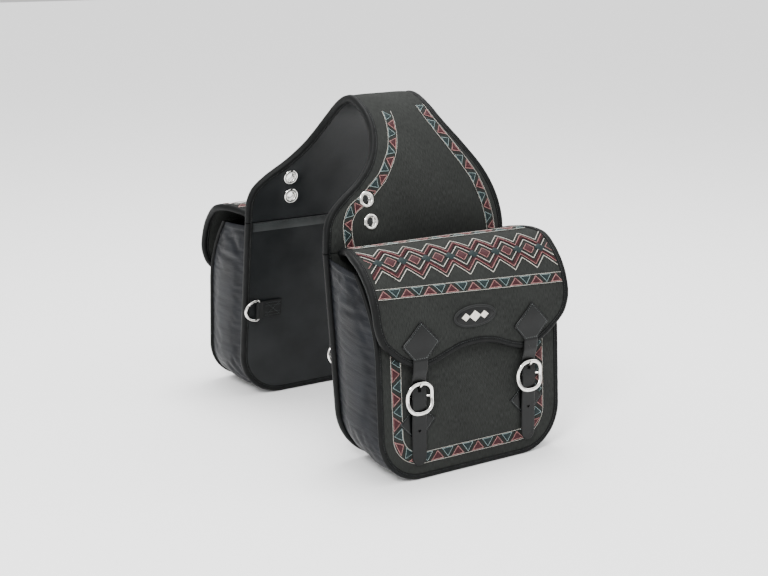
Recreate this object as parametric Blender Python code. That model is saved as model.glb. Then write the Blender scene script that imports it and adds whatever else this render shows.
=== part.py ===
"""Pair of saddle bags: two buckled pockets hung from an arched yoke.

Metres, +Z up, X across the pockets' fronts. The near pocket faces -Y and the far one is its mirror
image in Y. The origin is on the floor, under the middle of the yoke. Each fabric or leather piece is a
slab over a flat pattern (the shape it would be cut to), wrapped round the surface that it lies on.
"""

import math
from bisect import bisect_right

import bmesh
import bpy
import numpy as np
from mathutils import Matrix, Vector

# Driving dimensions
POCKET_HALF_WIDTH = 0.140
FOLD_HEIGHT = 0.269  # the seam between the yoke and the pockets
LEG_SPREAD = 0.1108  # from the middle plane to the middle of a yoke leg at the fold
SPLAY = math.tan(math.radians(7.75))  # how the pockets lean apart downwards
YOKE_RISE = 0.1785  # crown above the fold
YOKE_ROUNDNESS = 1.65
YOKE_FRONT_EDGE = (  # height above the fold, X of the -X edge
    (0.0, -0.1400), (0.018, -0.1392), (0.034, -0.1368), (0.050, -0.1290), (0.066, -0.1110),
    (0.084, -0.0840), (0.107, -0.0595), (0.132, -0.0448), (0.155, -0.0380), (0.1785, -0.0368),
)
YOKE_REAR_EDGE = (  # height above the fold, X of the +X edge
    (0.0, 0.1400), (0.020, 0.1385), (0.042, 0.1340), (0.063, 0.1270), (0.085, 0.1164),
    (0.120, 0.0930), (0.150, 0.0745), (0.166, 0.0694), (0.1785, 0.0665),
)
BACK_CORNER = 0.069
FRONT_CORNER = 0.061
GUSSET_BACK_INSET = 0.0085  # the bound rim that stands out past the gusset
GUSSET_FRONT_INSET = 0.0020
GUSSET_BULGE = 0.0045
GUSSET_THICKNESS = 0.0024
MOUTH_DROP = 0.0060  # gusset's top edge below the fold
FRONT_TOP_DROP = 0.0100
FRONT_THICKNESS = 0.0036
FRONT_BASE = 0.2300  # front panel's outer face at the fold's height, if it had no lean
FRONT_SLOPE = 0.0685
FRONT_LEAN = 0.0434  # how far the front panel leans in towards the mouth
LEAN_START, LEAN_SPAN = 0.110, 0.100
FLAP_HALF_WIDTH = 0.148
FLAP_THICKNESS = 0.0064
FLAP_SECTION = (  # outer face: distance from the middle plane, height from the fold
    (0.1163, 0.0030), (0.1440, 0.0112), (0.1720, 0.0150), (0.1980, 0.0105), (0.2200, -0.0050),
    (0.2370, -0.0260), (0.2465, -0.0500), (0.2495, -0.0750), (0.2488, -0.1000), (0.2476, -0.1300),
)
FLAP_EDGE = (  # lower edge from the middle to the side: X, drop below the fold
    (0.0, 0.1045), (0.024, 0.1070), (0.048, 0.1158), (0.070, 0.1230), (0.092, 0.1210),
    (0.112, 0.1115), (0.130, 0.0960), (0.1430, 0.0790), (0.148, 0.0620),
)
FLAP_STEADY_DROP = 0.056  # rows run straight across the flap as far as this, then follow its edge
FLAP_STEADY_ROWS, FLAP_EDGE_ROWS = 10, 4
STRAP_X = 0.085
STRAP_HALF_WIDTH = 0.0105
STRAP_THICKNESS = 0.0018
KITE_HALF_WIDTH = 0.0275
KITE_TOP_DROP, KITE_CORNER_DROP, KITE_NECK_DROP = 0.063, 0.091, 0.1105
STRAP_END_DROP = 0.2490
SPARE_HOLE_DROP = 0.2040
SPARE_HOLE_RADIUS = 0.0016
PRONG_HOLE = (0.0072, 0.0172, 0.0046)  # lower end, upper end above the bar, and width
BUCKLE_DROP = 0.161
BUCKLE_HALF_HEIGHT, BUCKLE_HALF_WIDTH = 0.0190, 0.0180
BUCKLE_WIRE_WIDE, BUCKLE_WIRE_DEEP = 0.0025, 0.0017  # half sizes of the frame's oval section
BUCKLE_BOW = 0.0077  # the rails stand this far in front of the bar
BAR_RADIUS = 0.0016
CHAPE_THICKNESS = 0.0014
CHAPE_HALF_WIDTH = 0.0095
CHAPE_SLOT = (0.0048, 0.0104)  # width and height of the hole that the tongue comes through
TONGUE_THICKNESS, TONGUE_HALF_WIDTH = 0.0012, 0.0016
ANCHOR_CORNER_DROP, ANCHOR_TIP_DROP, ANCHOR_NECK_DROP = 0.192, 0.2185, 0.1760
RING_DROP, RING_BAR_X = 0.132, -0.119
RING_HEIGHT, RING_REACH, RING_WIRE = 0.0300, 0.0200, 0.0019
RING_ROUND = 0.0020  # how far the D's straight side runs on past its bar before it bends
TAB_LENGTH, TAB_HALF_WIDTH, TAB_THICKNESS = 0.0385, 0.0125, 0.0016
TIE_HOLES = (("upper", -0.0735, 0.0620), ("lower", -0.0705, 0.0337))  # X, height above the fold
HOLE_RADIUS, GROMMET_RADIUS, GROMMET_WALL, GROMMET_LIP = 0.0062, 0.0108, 0.0007, 0.0011
BADGE_HALF_WIDTH, BADGE_HALF_HEIGHT, BADGE_THICKNESS, BADGE_ALONG = 0.0275, 0.0132, 0.0010, 0.1810

# Layers, as half-thicknesses about the middle of the padded sheet
GAP = 0.0003
PADDING = 0.0023
SKIN = 0.0012
SHEET = PADDING + GAP + SKIN
TAPE = 0.0009
TAPE_LEG = 0.0080
FRONT_TAPE_LEG = 0.0062
TAPE_NOSE = 0.35  # a binding's corner cut, as a share of its depth
SEAM = 0.0004  # between the yoke's layers and the pockets' at the fold


def make_finish(name, colour, roughness, metallic=0.0):
    finish = bpy.data.materials.new(name)
    finish.use_nodes = True
    shader = finish.node_tree.nodes["Principled BSDF"]
    shader.inputs["Base Color"].default_value = (*colour, 1.0)
    shader.inputs["Roughness"].default_value = roughness
    shader.inputs["Metallic"].default_value = metallic
    return finish


def spline(knots, where):
    """The value at `where` of a smooth curve through (position, value) knots."""
    positions, values = (np.array(column) for column in zip(*knots))
    slopes = np.gradient(values, positions)
    i = min(max(bisect_right(list(positions), where) - 1, 0), len(positions) - 2)
    width = positions[i + 1] - positions[i]
    u = (where - positions[i]) / width
    return float(
        (2 * u**3 - 3 * u**2 + 1) * values[i]
        + (u**3 - 2 * u**2 + u) * width * slopes[i]
        + (3 * u**2 - 2 * u**3) * values[i + 1]
        + (u**3 - u**2) * width * slopes[i + 1]
    )


def smooth_path(points, steps=8):
    """A dense smooth curve through 2D points, evenly parametrised by their chords."""
    chords = [0.0]
    for a, b in zip(points, points[1:]):
        chords.append(chords[-1] + math.dist(a, b))
    places = np.linspace(0, chords[-1], steps * len(points))
    columns = [list(zip(chords, column)) for column in zip(*points)]
    return [tuple(spline(column, place) for column in columns) for place in places]


class Profile:
    """A section in the YZ plane, walked by arc length. An offset steps off it to the left of travel."""

    def __init__(self, points):
        self.points = np.array(points)
        steps = np.linalg.norm(np.diff(self.points, axis=0), axis=1)
        self.lengths = np.concatenate([[0.0], np.cumsum(steps)])
        self.length = self.lengths[-1]

    def on(self, along):
        return np.array([np.interp(along, self.lengths, column) for column in self.points.T])

    def at(self, along, offset=0.0):
        step = 0.0012
        ahead, behind = min(along + step, self.length), max(along - step, 0.0)
        tangent = self.on(ahead) - self.on(behind)
        tangent /= np.linalg.norm(tangent)
        y, z = self.on(along) + offset * np.array([-tangent[1], tangent[0]])
        return y, z

    def along_at_height(self, height):
        """Arc length of the last point of the section at this height, on its way down."""
        heights = self.points[:, 1]
        last = max(i for i in range(len(heights) - 1) if heights[i] >= height >= heights[i + 1])
        share = (heights[last] - height) / (heights[last] - heights[last + 1])
        return self.lengths[last] + share * (self.lengths[last + 1] - self.lengths[last])


def add_object(name, mesh, finish, origin=(0, 0, 0), collection="saddle_bags"):
    mesh.materials.append(finish)
    mesh.shade_smooth()
    mesh.set_sharp_from_angle(angle=math.radians(40))
    obj = bpy.data.objects.new(name, mesh)
    obj.location = origin
    bpy.data.collections[collection].objects.link(obj)
    return obj


def close_mesh(name, rings, faces, finish, origin=(0, 0, 0)):
    """A mesh from lofted points and faces, with every face turned outwards."""
    mesh = bpy.data.meshes.new(name)
    work = bmesh.new()
    verts = [work.verts.new(Vector(point) - Vector(origin)) for ring in rings for point in ring]
    for face in faces:
        work.faces.new([verts[i] for i in face])
    bmesh.ops.recalc_face_normals(work, faces=work.faces)
    work.to_mesh(mesh)
    work.free()
    return add_object(name, mesh, finish, origin)


def slab(name, rows, place, low, high, finish, origin=(0, 0, 0)):
    """A closed slab over a grid of flat points (rows of (a, b)), between two offsets off its surface."""
    sides = [[place(a, b, offset) for row in rows for a, b in row] for offset in (low, high)]
    columns, count = len(rows[0]), len(rows)
    total = columns * count
    faces = []
    for i in range(count - 1):
        for j in range(columns - 1):
            quad = (i * columns + j, i * columns + j + 1, (i + 1) * columns + j + 1, (i + 1) * columns + j)
            faces.append(quad)
            faces.append(tuple(k + total for k in reversed(quad)))
    border = list(range(columns))
    border += [i * columns + columns - 1 for i in range(1, count)]
    border += [(count - 1) * columns + j for j in reversed(range(columns - 1))]
    border += [i * columns for i in reversed(range(1, count - 1))]
    for a, b in zip(border, border[1:] + border[:1]):
        faces.append((b, a, a + total, b + total))
    return close_mesh(name, sides, faces, finish, origin)


def loft(name, rings, finish, closed=False, origin=(0, 0, 0)):
    """A solid through rings of equal count: capped at both ends, or joined into a loop."""
    size, count = len(rings[0]), len(rings)
    faces = []
    for i in range(count if closed else count - 1):
        here, there = i * size, (i + 1) % count * size
        for j in range(size):
            k = (j + 1) % size
            faces.append((here + j, here + k, there + k, there + j))
    if not closed:
        faces.append(tuple(reversed(range(size))))
        faces.append(tuple((count - 1) * size + j for j in range(size)))
    return close_mesh(name, rings, faces, finish, origin)


def folded_tape(name, path, place, inner, outer, leg, finish):
    """A binding folded over a slab's edge: a C section along the flat path of that edge.

    The slab is on the path's left. inner and outer are (low, high) offsets of the C's two faces.
    """
    rings = []
    nose = TAPE_NOSE * (outer[1] - outer[0])
    for i, (a, b) in enumerate(path):
        ahead, behind = path[min(i + 1, len(path) - 1)], path[max(i - 1, 0)]
        run = Vector((ahead[0] - behind[0], ahead[1] - behind[1])).normalized()
        out = Vector((run.y, -run.x))
        section = (
            (-leg, outer[0]), (-nose, outer[0]), (0.0, outer[0] + nose),
            (0.0, outer[1] - nose), (-nose, outer[1]), (-leg, outer[1]),
            (-leg, inner[1]), (-TAPE - nose / 2, inner[1]), (-TAPE - nose / 2, inner[0]), (-leg, inner[0]),
        )
        rings.append([place(a + reach * out.x, b + reach * out.y, offset) for reach, offset in section])
    return loft(name, rings, finish)


def ribbon(name, profile, stations, centre, place, low, high, finish, origin=(0, 0, 0)):
    """A strap along a profile: stations are (distance along it, half width)."""
    rows = [[(centre + side * half, along) for side in (-1, 0, 1)] for along, half in stations]

    def wrap(a, along, offset):
        return place(a, *profile.at(along, offset))

    return slab(name, rows, wrap, low, high, finish, origin)


def helper(obj):
    """Keeps a shape that only cuts or joins another out of the render and the build."""
    obj.hide_render = True
    obj.display_type = "WIRE"
    bpy.data.collections["saddle_bags"].objects.unlink(obj)
    bpy.data.collections["cutters"].objects.link(obj)
    return obj


def combine(obj, other, operation):
    modifier = obj.modifiers.new(operation.lower(), "BOOLEAN")
    modifier.operation = operation
    modifier.object = other


def peg(name, start, end, radius, sides, finish):
    """A round rod between two points."""
    start, end = Vector(start), Vector(end)
    mesh = bpy.data.meshes.new(name)
    work = bmesh.new()
    bmesh.ops.create_cone(
        work, cap_ends=True, segments=sides, radius1=radius, radius2=radius, depth=(end - start).length
    )
    turn = Vector((0, 0, 1)).rotation_difference(end - start).to_matrix().to_4x4()
    work.transform(Matrix.Translation((start + end) / 2) @ turn)
    work.to_mesh(mesh)
    work.free()
    return add_object(name, mesh, finish)


# Surfaces


def front_face(drop):
    """Distance from the middle plane of a front panel's outer face, this far below the fold."""
    lean = max(0.0, (LEAN_START - drop) / LEAN_SPAN)
    return FRONT_BASE + FRONT_SLOPE * drop - FRONT_LEAN * lean**2


def back_middle(drop):
    return LEG_SPREAD + SPLAY * drop


def arch_profile():
    """The yoke's middle surface from the near fold over the crown to the far fold."""
    points = []
    for step in range(181):
        turn = math.pi * step / 180
        reach = LEG_SPREAD * abs(math.cos(turn)) ** (2 / YOKE_ROUNDNESS)
        points.append((-math.copysign(reach, math.cos(turn)), FOLD_HEIGHT + YOKE_RISE * math.sin(turn)))
    return Profile(points)


def flap_profile():
    return Profile([(y, FOLD_HEIGHT + z) for y, z in smooth_path(FLAP_SECTION)])


ARCH = arch_profile()
FLAP = flap_profile()


def on_arch(x, along, offset):
    return Vector((x, *ARCH.at(along, offset)))


def pocket_place(side):
    """Near pocket is side -1, far pocket +1: distances from the middle plane become world Y."""

    def place(x, y, z):
        return Vector((x, side * y, z))

    return place


def arch_along(side, height):
    """Arc length along the yoke of a height above the fold, on the near (-1) or far (+1) leg."""
    rising = ARCH.points[: len(ARCH.points) // 2 + 1, 1] - FOLD_HEIGHT
    along = float(np.interp(height, rising, ARCH.lengths[: len(rising)]))
    return along if side < 0 else ARCH.length - along


def u_outline(half_width, corner, inset, top, sides=5, bends=6):
    """Flat outline of a pocket panel: down the -X side, round the bottom, up the +X side."""
    half, radius, floor = half_width - inset, corner - inset, inset
    points = [(-half, z) for z in np.linspace(top, floor + radius, sides + 1)[:-1]]
    for step in range(bends + 1):
        turn = math.pi / 2 * step / bends
        x = -half + radius - radius * math.cos(turn)
        points.append((x, floor + radius - radius * math.sin(turn)))
    left = points
    middle = [(x, floor) for x in np.linspace(-half + radius, half - radius, 6)[1:-1]]
    return left + middle + [(-x, z) for x, z in reversed(left)]


def panel_rows(outline, columns):
    """Rows across a U outline, one for each height on its -X side."""
    half = outline[: len(outline) // 2]
    heights = []
    for x, z in half:
        if not heights or z < heights[-1][1] - 1e-6:
            heights.append((x, z))
    return [[(u * abs(x), z) for u in np.linspace(-1, 1, columns)] for x, z in heights]


# Pieces


def build_yoke(finishes):
    inset = TAPE + TAPE_NOSE * (SHEET + TAPE) + 3 * GAP
    stations = np.linspace(SEAM, ARCH.length - SEAM, 29)

    def edge(knots, along):
        return spline(knots, min(ARCH.on(along)[1] - FOLD_HEIGHT, YOKE_RISE))

    def within(knots, along):
        """Distance along X that is one inset square to the edge."""
        ahead, behind = edge(knots, min(along + 0.002, ARCH.length)), edge(knots, max(along - 0.002, 0.0))
        return inset * math.hypot(1, (ahead - behind) / 0.004)

    rows = []
    for along in stations:
        low = edge(YOKE_FRONT_EDGE, along) + within(YOKE_FRONT_EDGE, along)
        high = edge(YOKE_REAR_EDGE, along) - within(YOKE_REAR_EDGE, along)
        rows.append([(low + share * (high - low), along) for share in (0, 0.28, 0.64, 1)])
    layers = (
        ("yoke_lining", -SHEET, -PADDING - GAP, "vinyl"),
        ("yoke_padding", -PADDING, PADDING, "foam"),
        ("yoke_cover", PADDING + GAP, SHEET, "canvas"),
    )
    punch = tie_hole_punch(finishes)
    for name, low, high, finish in layers:
        combine(slab(name, rows, on_arch, low, high, finishes[finish]), punch, "DIFFERENCE")
    for name, knots, travel in (
        ("yoke_binding_front", YOKE_FRONT_EDGE, stations[::-1]),
        ("yoke_binding_rear", YOKE_REAR_EDGE, stations),
    ):
        path = [(edge(knots, along), along) for along in travel]
        inner = (-SHEET - GAP, SHEET + GAP)
        outer = (-SHEET - GAP - TAPE, SHEET + GAP + TAPE)
        folded_tape(name, path, on_arch, inner, outer, TAPE_LEG, finishes["tape"])


def tie_hole_axes():
    """Centre on the yoke's middle surface and outward direction of each tie hole."""
    for side, pocket in ((-1, "near"), (1, "far")):
        for which, x, height in TIE_HOLES:
            along = arch_along(side, height)
            centre, tip = on_arch(x, along, 0.0), on_arch(x, along, 0.01)
            yield f"{pocket}_{which}", centre, (tip - centre).normalized()


def tie_hole_punch(finishes):
    """Four rods as one cutter."""
    rods = []
    for name, centre, axis in tie_hole_axes():
        start, end = centre - 0.02 * axis, centre + 0.02 * axis
        rods.append(peg("punch_" + name, start, end, HOLE_RADIUS + GROMMET_WALL + GAP, 12, finishes["foam"]))
    joined = bpy.data.meshes.new("tie_hole_punch")
    work = bmesh.new()
    for rod in rods:
        work.from_mesh(rod.data)
        bpy.data.objects.remove(rod)
    work.to_mesh(joined)
    work.free()
    return helper(add_object("tie_hole_punch", joined, finishes["foam"]))


def turned_ring(name, centre, axis, outline, finish, sides=14):
    """A ring turned about an axis: outline is (radius, distance along the axis), closed."""
    across = axis.orthogonal().normalized()
    third = axis.cross(across)
    rings = []
    for step in range(sides):
        turn = 2 * math.pi * step / sides
        spoke = math.cos(turn) * across + math.sin(turn) * third
        rings.append([centre + radius * spoke + reach * axis for radius, reach in outline])
    return loft(name, rings, finish, closed=True)


def build_grommets(finishes):
    for name, centre, axis in tie_hole_axes():
        face = SHEET + 2 * GAP
        back = -SHEET - 4 * GAP
        bore, barrel = HOLE_RADIUS, HOLE_RADIUS + GROMMET_WALL
        lip = (
            (bore, back - GROMMET_LIP - GAP), (bore, face + 0.3 * GROMMET_LIP), (bore + 0.0012, face + GROMMET_LIP),
            (GROMMET_RADIUS - 0.0010, face + GROMMET_LIP), (GROMMET_RADIUS, face), (barrel, face),
            (barrel, back - GROMMET_LIP - GAP),
        )
        turned_ring(name + "_grommet", centre, axis, lip, finishes["nickel"])
        washer = (
            (barrel + GAP, back), (GROMMET_RADIUS, back), (GROMMET_RADIUS - 0.0008, back - GROMMET_LIP),
            (barrel + GAP, back - GROMMET_LIP),
        )
        turned_ring(name + "_washer", centre, axis, washer, finishes["nickel"])


def build_back(pocket, side, finishes):
    place = pocket_place(side)

    def on_back(x, z, offset):
        return place(x, back_middle(FOLD_HEIGHT - z) + offset, z)

    top = FOLD_HEIGHT - SEAM
    rim = u_outline(POCKET_HALF_WIDTH, BACK_CORNER, 0.0, top)
    inset = TAPE + TAPE_NOSE * (SHEET + TAPE) + GAP
    rows = panel_rows(u_outline(POCKET_HALF_WIDTH, BACK_CORNER, inset, top), 3)
    slab(pocket + "_back_panel", rows, on_back, -PADDING, SHEET, finishes["canvas"])
    slab(pocket + "_back_lining", rows, on_back, -SHEET, -PADDING - GAP, finishes["vinyl"])
    inner = (-SHEET - GAP, SHEET + GAP)
    outer = (-SHEET - GAP - TAPE, SHEET + GAP + TAPE)
    folded_tape(pocket + "_back_binding", rim, on_back, inner, outer, TAPE_LEG, finishes["tape"])


def build_front(pocket, side, finishes):
    place = pocket_place(side)

    def on_front(x, z, offset):
        return place(x, front_face(FOLD_HEIGHT - z) + offset, z)

    top = FOLD_HEIGHT - FRONT_TOP_DROP
    rim = u_outline(POCKET_HALF_WIDTH, FRONT_CORNER, 0.0, top, sides=8)
    inset = TAPE + TAPE_NOSE / 2 * (FRONT_THICKNESS + 2 * TAPE) + 2 * GAP
    rows = panel_rows(u_outline(POCKET_HALF_WIDTH, FRONT_CORNER, inset, top, sides=8), 3)
    slab(pocket + "_front_panel", rows, on_front, -FRONT_THICKNESS, 0.0, finishes["canvas"])
    inner = (-FRONT_THICKNESS - GAP, GAP)
    outer = (-FRONT_THICKNESS - GAP - TAPE, GAP + TAPE)
    folded_tape(pocket + "_front_binding", rim, on_front, inner, outer, FRONT_TAPE_LEG, finishes["tape"])


def build_gusset(pocket, side, finishes):
    """The U strip between back and front: a loft from one outline to the other, bulging between them."""
    place = pocket_place(side)
    top = FOLD_HEIGHT - MOUTH_DROP
    front_top = FOLD_HEIGHT - FRONT_TOP_DROP
    front_depth = FRONT_THICKNESS + GAP + TAPE + GAP
    back = u_outline(POCKET_HALF_WIDTH, BACK_CORNER, GUSSET_BACK_INSET, top, sides=8)
    front = u_outline(POCKET_HALF_WIDTH, FRONT_CORNER, GUSSET_FRONT_INSET, front_top, sides=8)
    shares = (0.0, 0.12, 0.35, 0.65, 0.88, 1.0)
    sections = []
    for i, (behind, ahead) in enumerate(zip(back, front)):
        before, after = back[max(i - 1, 0)], back[min(i + 1, len(back) - 1)]
        run = Vector((after[0] - before[0], after[1] - before[1])).normalized()
        outwards = Vector((run.y, -run.x))
        start = back_middle(FOLD_HEIGHT - behind[1]) + SHEET + 2 * GAP + TAPE
        end = front_face(FOLD_HEIGHT - ahead[1]) - front_depth
        row = []
        for share in shares:
            bulge = GUSSET_BULGE * 4 * share * (1 - share)
            x = behind[0] + share * (ahead[0] - behind[0]) + bulge * outwards.x
            z = behind[1] + share * (ahead[1] - behind[1]) + bulge * outwards.y
            row.append((Vector((x, start + share * (end - start), z)), outwards))
        sections.append(row)
    outer = [[place(*point) for point, _ in row] for row in sections]
    inner = []
    for row in sections:
        inner.append([])
        for point, outwards in row:
            inset = GUSSET_THICKNESS * outwards
            inner[-1].append(place(point.x - inset.x, point.y, point.z - inset.y))
    columns = len(shares)
    indexed = {(i, j): (outer[i][j], inner[i][j]) for i in range(len(outer)) for j in range(columns)}

    def wrap(i, j, layer):
        return indexed[i, j][layer]

    rows = [[(i, j) for j in range(columns)] for i in range(len(outer))]
    slab(pocket + "_gusset", rows, wrap, 0, 1, finishes["leather"])


def flap_rows(along):
    """Arc lengths of the flap's rows in a column whose edge is at this arc length."""
    steady = FLAP.along_at_height(FOLD_HEIGHT - FLAP_STEADY_DROP)
    upper = np.linspace(0.0, steady, FLAP_STEADY_ROWS)
    return list(upper[:-1]) + list(np.linspace(steady, along, FLAP_EDGE_ROWS))


def flap_columns():
    """Half-outline of the flap's lower edge as (X, arc length), from the middle to the side."""
    columns = []
    for x, drop in FLAP_EDGE:
        columns.append((x, FLAP.along_at_height(FOLD_HEIGHT - drop)))
    return columns


def build_flap(pocket, side, finishes):
    place = pocket_place(side)

    def on_flap(x, along, offset):
        return place(x, *FLAP.at(max(along, 0.0), offset))

    half = flap_columns()
    edge = [(-x, along) for x, along in reversed(half[1:])] + half
    above = flap_rows(half[-1][1])[-2]
    fenced = [(-FLAP_HALF_WIDTH, above)] + edge + [(FLAP_HALF_WIDTH, above)]
    nose = TAPE_NOSE * (FLAP_THICKNESS + 2 * GAP + 2 * TAPE)
    inset = TAPE + nose / 2 + 2 * GAP
    inner_edge = []
    for behind, (x, along), ahead in zip(fenced, edge, fenced[2:]):
        run = Vector((ahead[0] - behind[0], ahead[1] - behind[1])).normalized()
        inner_edge.append((x + inset * run.y, along - inset * run.x))
    columns = [[(x, along) for along in flap_rows(end)] for x, end in inner_edge]
    rows = [list(row) for row in zip(*columns)]
    slab(pocket + "_flap", rows, on_flap, -FLAP_THICKNESS, 0.0, finishes["canvas"])
    sides = [(-FLAP_HALF_WIDTH, along) for along in flap_rows(half[-1][1])[:-1]]
    path = sides + edge + [(-x, along) for x, along in reversed(sides)]
    inner = (-FLAP_THICKNESS - 2 * GAP, 2 * GAP)
    outer = (-FLAP_THICKNESS - 2 * GAP - TAPE, 2 * GAP + TAPE)
    turned = [(x, along) for x, along in reversed(path)]
    folded_tape(pocket + "_flap_binding", turned, on_flap, inner, outer, TAPE_LEG, finishes["tape"])
    build_badge(pocket, on_flap, finishes)


def build_badge(pocket, on_flap, finishes):
    rows = []
    for share in np.linspace(-0.96, 0.96, 9):
        half = BADGE_HALF_WIDTH * math.sqrt(1 - share**2)
        along = BADGE_ALONG + share * BADGE_HALF_HEIGHT
        rows.append([(u * half, along) for u in (-1, 0, 1)])
    slab(pocket + "_badge", rows, on_flap, GAP, GAP + BADGE_THICKNESS, finishes["patch"])


def strap_profile():
    """Back face of a flap strap: over the flap, behind the rails, before the bar, down the front panel."""
    start = FLAP.along_at_height(FOLD_HEIGHT - KITE_TOP_DROP)
    lip = FLAP.along_at_height(FOLD_HEIGHT - KITE_NECK_DROP - 0.014)
    over_tape = TAPE + 3 * GAP
    ramp = ((start, 2 * GAP), (lip - 0.026, 2 * GAP), (lip - 0.012, over_tape), (lip, over_tape))
    points = []
    for along in np.linspace(start, lip, 16):
        points.append(FLAP.at(along, float(np.interp(along, *zip(*ramp)))))
    run = []
    for drop, off in strap_offsets():
        run.append((front_face(drop) + off, FOLD_HEIGHT - drop))
    points += smooth_path([tuple(points[-1])] + run)[2:]
    return Profile(points)


def strap_offsets():
    """(drop below the fold, back face's distance off the front panel) below the flap's edge."""
    rail = BUCKLE_HALF_HEIGHT
    behind_rail, before_bar = 0.0064, 0.0073
    between = 0.0070
    return (
        (BUCKLE_DROP - rail, behind_rail),
        (BUCKLE_DROP - rail / 2, between),
        (BUCKLE_DROP, before_bar),
        (BUCKLE_DROP + rail / 2, between),
        (BUCKLE_DROP + rail, behind_rail),
        (ANCHOR_CORNER_DROP + 0.004, 0.0048),
        (ANCHOR_TIP_DROP, 0.0036),
        (0.236, 0.0022),
        (STRAP_END_DROP, 0.0016),
    )


def bar_centre(x):
    reach = front_face(BUCKLE_DROP) + GAP + CHAPE_THICKNESS + GAP + BAR_RADIUS
    return x, reach, FOLD_HEIGHT - BUCKLE_DROP


def build_strap(name, x, place, finishes):
    profile = strap_profile()
    neck = profile.along_at_height(FOLD_HEIGHT - KITE_NECK_DROP)
    corner = profile.along_at_height(FOLD_HEIGHT - KITE_CORNER_DROP)
    end = profile.length
    stations = [(0.0, 0.0012), (corner / 2, KITE_HALF_WIDTH / 2), (corner, KITE_HALF_WIDTH)]
    stations += [((corner + neck) / 2, (KITE_HALF_WIDTH + STRAP_HALF_WIDTH) / 2)]
    for along in np.linspace(neck, end - 0.010, 17):
        stations.append((along, STRAP_HALF_WIDTH))
    stations += [(end - 0.004, 0.85 * STRAP_HALF_WIDTH), (end, 0.45 * STRAP_HALF_WIDTH)]
    strap = ribbon(name, profile, stations, x, place, 0.0, STRAP_THICKNESS, finishes["leather"])
    low, high, width = PRONG_HOLE
    middle = place(x, front_face(BUCKLE_DROP), FOLD_HEIGHT - BUCKLE_DROP + (low + high) / 2)
    hole = block(name + "_hole", middle, (width, 0.04, high - low), finishes["foam"])
    combine(strap, helper(hole), "DIFFERENCE")
    depth, height = front_face(SPARE_HOLE_DROP), FOLD_HEIGHT - SPARE_HOLE_DROP
    start, end = place(x, depth - 0.02, height), place(x, depth + 0.02, height)
    spare = peg(name + "_spare_hole", start, end, SPARE_HOLE_RADIUS, 8, finishes["foam"])
    combine(strap, helper(spare), "DIFFERENCE")


def block(name, middle, size, finish):
    mesh = bpy.data.meshes.new(name)
    work = bmesh.new()
    bmesh.ops.create_cube(work, size=1.0)
    work.transform(Matrix.Translation(middle) @ Matrix.Diagonal((*size, 1.0)))
    work.to_mesh(mesh)
    work.free()
    return add_object(name, mesh, finish)


def build_chape(name, x, place, finishes):
    """Anchor kite under the strap, run up over the bar and back down behind itself."""
    _, bar_y, bar_z = bar_centre(x)
    turn_radius = BAR_RADIUS + GAP + CHAPE_THICKNESS / 2
    lay = CHAPE_THICKNESS / 2
    back_off, front_off = GAP + lay, 2 * GAP + 3 * lay

    def off_panel(drop, off):
        return front_face(drop) + off, FOLD_HEIGHT - drop

    points = [off_panel(drop, front_off) for drop in np.linspace(ANCHOR_TIP_DROP, ANCHOR_NECK_DROP, 8)]
    points.append(off_panel(ANCHOR_NECK_DROP - 0.005, front_off + 0.0010))
    for step in range(9):
        turn = math.radians(-30 + 210 * step / 8)
        points.append((bar_y + turn_radius * math.cos(turn), bar_z + turn_radius * math.sin(turn)))
    points += [off_panel(drop, back_off) for drop in np.linspace(BUCKLE_DROP + 0.006, ANCHOR_CORNER_DROP, 5)]
    profile = Profile(points)
    heights = profile.points[:8, 1]
    stations = []
    for height, along in zip(heights, profile.lengths):
        drop = FOLD_HEIGHT - height
        half = KITE_HALF_WIDTH * (1 - abs(drop - ANCHOR_CORNER_DROP) / (ANCHOR_TIP_DROP - ANCHOR_CORNER_DROP))
        floor_width = 0.0012 if drop > ANCHOR_CORNER_DROP else CHAPE_HALF_WIDTH
        stations.append((along, max(half, floor_width)))
    stations += [(along, CHAPE_HALF_WIDTH) for along in profile.lengths[8:]]
    chape = ribbon(name, profile, stations, x, place, -lay, lay, finishes["leather"])
    wide, high = CHAPE_SLOT
    slot = block(name + "_slot", place(x, bar_y, bar_z), (wide, 0.03, high), finishes["foam"])
    combine(chape, helper(slot), "DIFFERENCE")


def build_buckle(name, x, place, finishes):
    """Oval frame, bowed forward from its centre bar."""
    _, bar_y, bar_z = bar_centre(x)
    origin = place(x, bar_y, bar_z)
    rings = []
    steps, sides = 24, 6
    for i in range(steps):
        turn = 2 * math.pi * i / steps
        c, s = math.cos(turn), math.sin(turn)
        squareness = 2 / 2.5
        u = math.copysign(abs(c) ** squareness, c)
        v = math.copysign(abs(s) ** squareness, s)
        spoke = Vector((c, s)).normalized()
        ring = []
        for k in range(sides):
            around = 2 * math.pi * (k + 0.5) / sides
            reach = BUCKLE_WIRE_WIDE * math.cos(around)
            px = BUCKLE_HALF_WIDTH * u + reach * spoke.x
            pz = BUCKLE_HALF_HEIGHT * v + reach * spoke.y
            rise = math.sin(math.pi / 2 * min(1.0, abs(v) / 0.85)) ** 2
            forward = BUCKLE_BOW * rise - FRONT_SLOPE * pz + BUCKLE_WIRE_DEEP * math.sin(around)
            ring.append(place(x + px, bar_y + forward, bar_z + pz))
        rings.append(ring)
    frame = loft(name + "_frame", rings, finishes["nickel"], closed=True, origin=origin)
    reach = BUCKLE_HALF_WIDTH
    bar = peg(name + "_bar", place(x - reach, bar_y, bar_z), place(x + reach, bar_y, bar_z),
              BAR_RADIUS, 8, finishes["nickel"])
    combine(frame, helper(bar), "UNION")


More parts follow.
